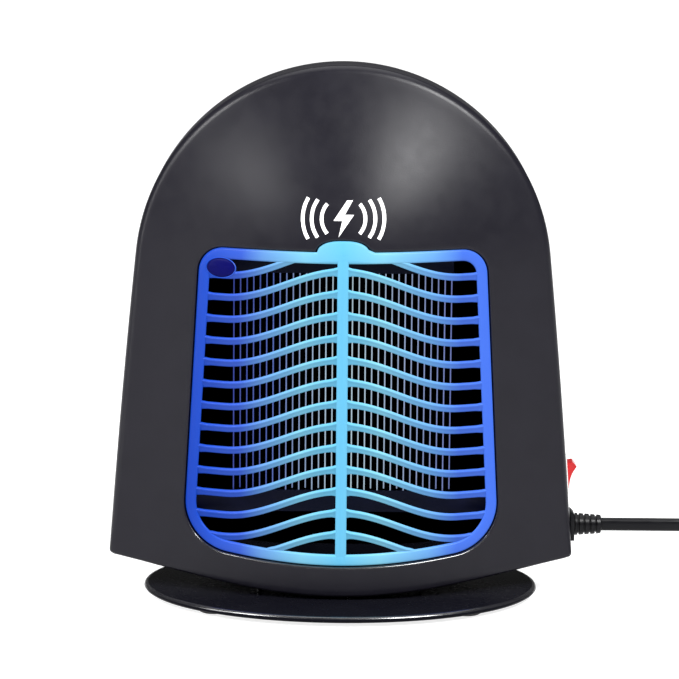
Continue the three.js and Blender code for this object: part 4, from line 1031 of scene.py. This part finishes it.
# %% Interlock cap and peg
cap_navy = surface(
    "cap_navy_gloss", (0.0008, 0.0009, 0.050), (0.0012, 0.0013, 0.062), (0.35, 0.42), (700, 0.01), shine=0.04
)
mesh = bmesh.new()
dome = [(0, 0.75), (3.0, 0.72), (5.2, 0.6), (6.6, 0.38), (7.1, 0.1), (7.2, -0.2), (7.0, -0.6), (0, -0.6)]
spun(mesh, [(r, a) for r, a in reversed(dome)], (0, 0, 0), (0, -1, 0), 48)
bmesh.ops.scale(mesh, vec=(1, 1, CAP_SQUEEZE), verts=mesh.verts)
for corner in mesh.verts:
    x, z = corner.co.x + CAP_X, corner.co.z + CAP_Z
    corner.co = Vector((x, corner.co.y + grille_y(x, z) - 0.2, z))
peg = [(0, -25.2), (2.4, -25.2), (2.4, -15.4), (1.9, -14.9), (0, -14.9)]
spun(mesh, peg, (CAP_X, 0, CAP_Z), (0, 1, 0), 24)
cap = hand_over("interlock_cap", mesh, cap_navy, "grille", ("interlock_plug",), 40)
print("cap", len(cap.data.polygons), "faces")

# %% [markdown]
# ## Wire grid
# Two combs of drawn steel wire stand between each other without touching: one set hangs from
# the upper bus, the other rises from the lower one, a few millimetres short of the other bus.
# Each wire is a small cylinder with its end eased. The lamp's light on them is painted in as
# a glow, brightest near the middle.

# %% Wires
# The wires' glow is painted lamp light, brightest near the middle and a little stronger on faces turned up.
wire_steel = painted_glow(
    "wire_steel_painted_glow",
    [
        (0.0, (0.05, 0.07, 0.40)), (0.2, (0.10, 0.16, 0.55)), (0.5, (0.62, 0.80, 0.86)),
        (0.75, (0.40, 0.50, 0.72)), (1.0, (0.16, 0.20, 0.55)),
    ],
    60, (0.45, 0.6), (0.2, 0.35), 0.4,
)


WIRES, WIRE_PITCH, WIRE_RADIUS, GRID_Y = 34, 3.38, 0.34, -10


def comb(name, first, bus_z, end_z):
    mesh = bmesh.new()
    length = abs(end_z - bus_z)
    up_or_down = 1 if end_z > bus_z else -1
    line = [(0, 0), (WIRE_RADIUS, 0), (WIRE_RADIUS, length - 0.3), (0.24, length - 0.1), (0, length)]
    for i in range(first, WIRES, 2):
        x = (i - (WIRES - 1) / 2) * WIRE_PITCH
        spun(mesh, line, (x, GRID_Y, bus_z), (0, 0, up_or_down), 10)
    bus = [(0, -56.5), (0.7, -56.5), (0.7, 56.5), (0, 56.5)]
    spun(mesh, bus, (0, GRID_Y, bus_z), (1, 0, 0), 12)
    return hand_over(name + "_finish", mesh, wire_steel, "housing", (name,), 50)


comb("return_comb", 0, 49.8, 171.8)
comb("live_comb", 1, 179.0, 57.0)
print("wires ready")

# %% [markdown]
# ## Lamp, chamber, drawer and switch
# The lamp is a U of dark violet glass in a black cap. The other moulded parts keep the
# shape of their plain nodes: a merged copy with eased edges catches the light along them as a
# real moulding does.

# %% Lamp
lamp_glass = surface(
    "lamp_violet_glass", (0.001, 0.0008, 0.010), (0.002, 0.0014, 0.018), (0.12, 0.2), (300, 0.005),
    shine=0.12,
)
mesh = bmesh.new()
BEND_Z, LEVELS = 78.5, (161.7, 150, 120, 95)
turns = [math.pi * i / 12 for i in range(24)]
circle = [(6 * math.cos(angle) - 12.5, 6 * math.sin(angle) + 5) for angle in turns]
rings = [[(x, y, z) for x, y in circle] for z in (*LEVELS, BEND_Z)]
for k in range(1, 17):
    angle = math.pi * k / 16
    rings.append([(x * math.cos(angle), y, BEND_Z + x * math.sin(angle)) for x, y in circle])
rings += [[(-x, y, z) for x, y in circle] for z in reversed(LEVELS)]
bridge(mesh, rings, ends=True)
lamp_tube = hand_over("lamp_tube_finish", mesh, lamp_glass, "housing", ("lamp_tube",), 40)
print("lamp", len(lamp_tube.data.polygons), "faces")

# %% Moulded parts that keep their plain shape
ivory = surface("ivory_moulding", (0.52, 0.50, 0.43), (0.62, 0.60, 0.53), (0.4, 0.55), (1200, 0.03))
switch_white = surface("switch_white", (0.70, 0.70, 0.68), (0.80, 0.80, 0.78), (0.25, 0.38), (1200, 0.02))
board_green = surface(
    "board_solder_mask", (0.010, 0.09, 0.035), (0.018, 0.13, 0.05), (0.25, 0.4), (1500, 0.03)
)
tape_yellow = surface("tape_yellow", (0.50, 0.33, 0.03), (0.62, 0.42, 0.06), (0.3, 0.45), (900, 0.03))
film_brown = surface("film_brown", (0.22, 0.07, 0.03), (0.32, 0.11, 0.05), (0.2, 0.35), (900, 0.02))
sleeve_black = surface(
    "sleeve_black_satin", (0.012, 0.012, 0.016), (0.022, 0.022, 0.028), (0.3, 0.45), (900, 0.02)
)
copied("collection_tray", gloss_black, "drawer", 0.3, 35)
copied("zap_chamber", chamber_black, edge=0.0)
copied("lower_rail", chamber_black)
copied("upper_rail", chamber_black)
copied("interlock_switch", chamber_black)
copied("interlock_plunger", ivory, "plunger", 0.2)
copied("lamp_cap", chamber_black, edge=1.2)
copied("lamp_socket", chamber_black, edge=1.0)
copied("lamp_clip", screw_steel, edge=0.4)
copied("circuit_board", board_green, edge=0.1)
copied("step_up_transformer", tape_yellow, edge=1.2)
for name in ("film_capacitor_1", "film_capacitor_2"):
    copied(name, film_brown, edge=1.0)
copied("ballast_choke", film_brown, edge=1.0)
copied("smoothing_capacitor", sleeve_black, edge=0.6)
copied("fuse", ivory, edge=0.4)
for i in (1, 2, 3):
    copied(f"diode_{i}", sleeve_black, edge=0.3)
copied("terminal_block", ivory, edge=0.6)
copied("rocker_housing", switch_white, edge=0.35)
print("moulded parts ready")

# %% [markdown]
# ## Rocker
# The rocker is a red paddle with a hollow face between its two ends. It keeps the shape that
# turns freely in its frame; a bevel softens its ridges, and the plastic is glossy and clear,
# with a faint red glow painted in for the light passing through it.

# %% Rocker
rocker_red = surface(
    "rocker_red_gloss", (0.36, 0.003, 0.005), (0.44, 0.005, 0.007), (0.12, 0.2), (400, 0.005), shine=0.3
)
shader = rocker_red.node_tree.nodes["Principled BSDF"]
# A faint painted glow: red light shining through the clear plastic.
shader.inputs["Emission Color"].default_value = (0.6, 0.01, 0.01, 1)
shader.inputs["Emission Strength"].default_value = 0.05
copied("rocker", rocker_red, "rocker", 0.4, 25)

# %% [markdown]
# ## Mark
# A small printed mark sits above the grille: a lightning bolt with three arcs on either side,
# the plain sign for high voltage that spreads. It is a thin skin of white ink that follows the
# pillow, cut into small faces so that it can bend with it.

# %% Printed mark
MARK_Z = 201
mesh = bmesh.new()
bolt = [(1.8, 9.2), (-5.0, -1.0), (-0.6, -1.0), (-2.4, -9.2), (5.2, 2.0), (0.6, 2.0), (4.6, 9.2)]
bmesh.ops.edgeloop_fill(mesh, edges=loop(mesh, [(x, 0, z) for x, z in bolt]))
for side in (-1, 1):
    for radius, sweep in ((11.0, 42), (16.0, 36), (20.5, 30)):
        outer = arc(0, 0, radius + 0.9, -math.radians(sweep), math.radians(sweep), 24)
        inner = arc(0, 0, radius - 0.9, math.radians(sweep), -math.radians(sweep), 24)
        shape = [(side * x, 0, z) for x, z in outer + inner]
        bmesh.ops.edgeloop_fill(mesh, edges=loop(mesh, shape))
bmesh.ops.triangulate(mesh, faces=mesh.faces)
long_edges = [e for e in mesh.edges if e.calc_length() > 1.5]
bmesh.ops.subdivide_edges(mesh, edges=long_edges, cuts=3)
bmesh.ops.triangulate(mesh, faces=mesh.faces)
skin = bmesh.ops.extrude_face_region(mesh, geom=list(mesh.faces))["geom"]
front = {v for v in skin if isinstance(v, bmesh.types.BMVert)}
for corner in mesh.verts:
    x, z = corner.co.x, corner.co.z * 0.98 + MARK_Z
    corner.co = Vector((x, front_y(x, z) + (-0.12 if corner in front else 0.1), z))
ink_white = surface("ink_white", (0.80, 0.80, 0.80), (0.86, 0.86, 0.86), (0.4, 0.5), (2500, 0.01))
mark = hand_over("printed_mark", mesh, ink_white, "housing", crisp=30)
print("mark", len(mark.data.polygons), "faces")
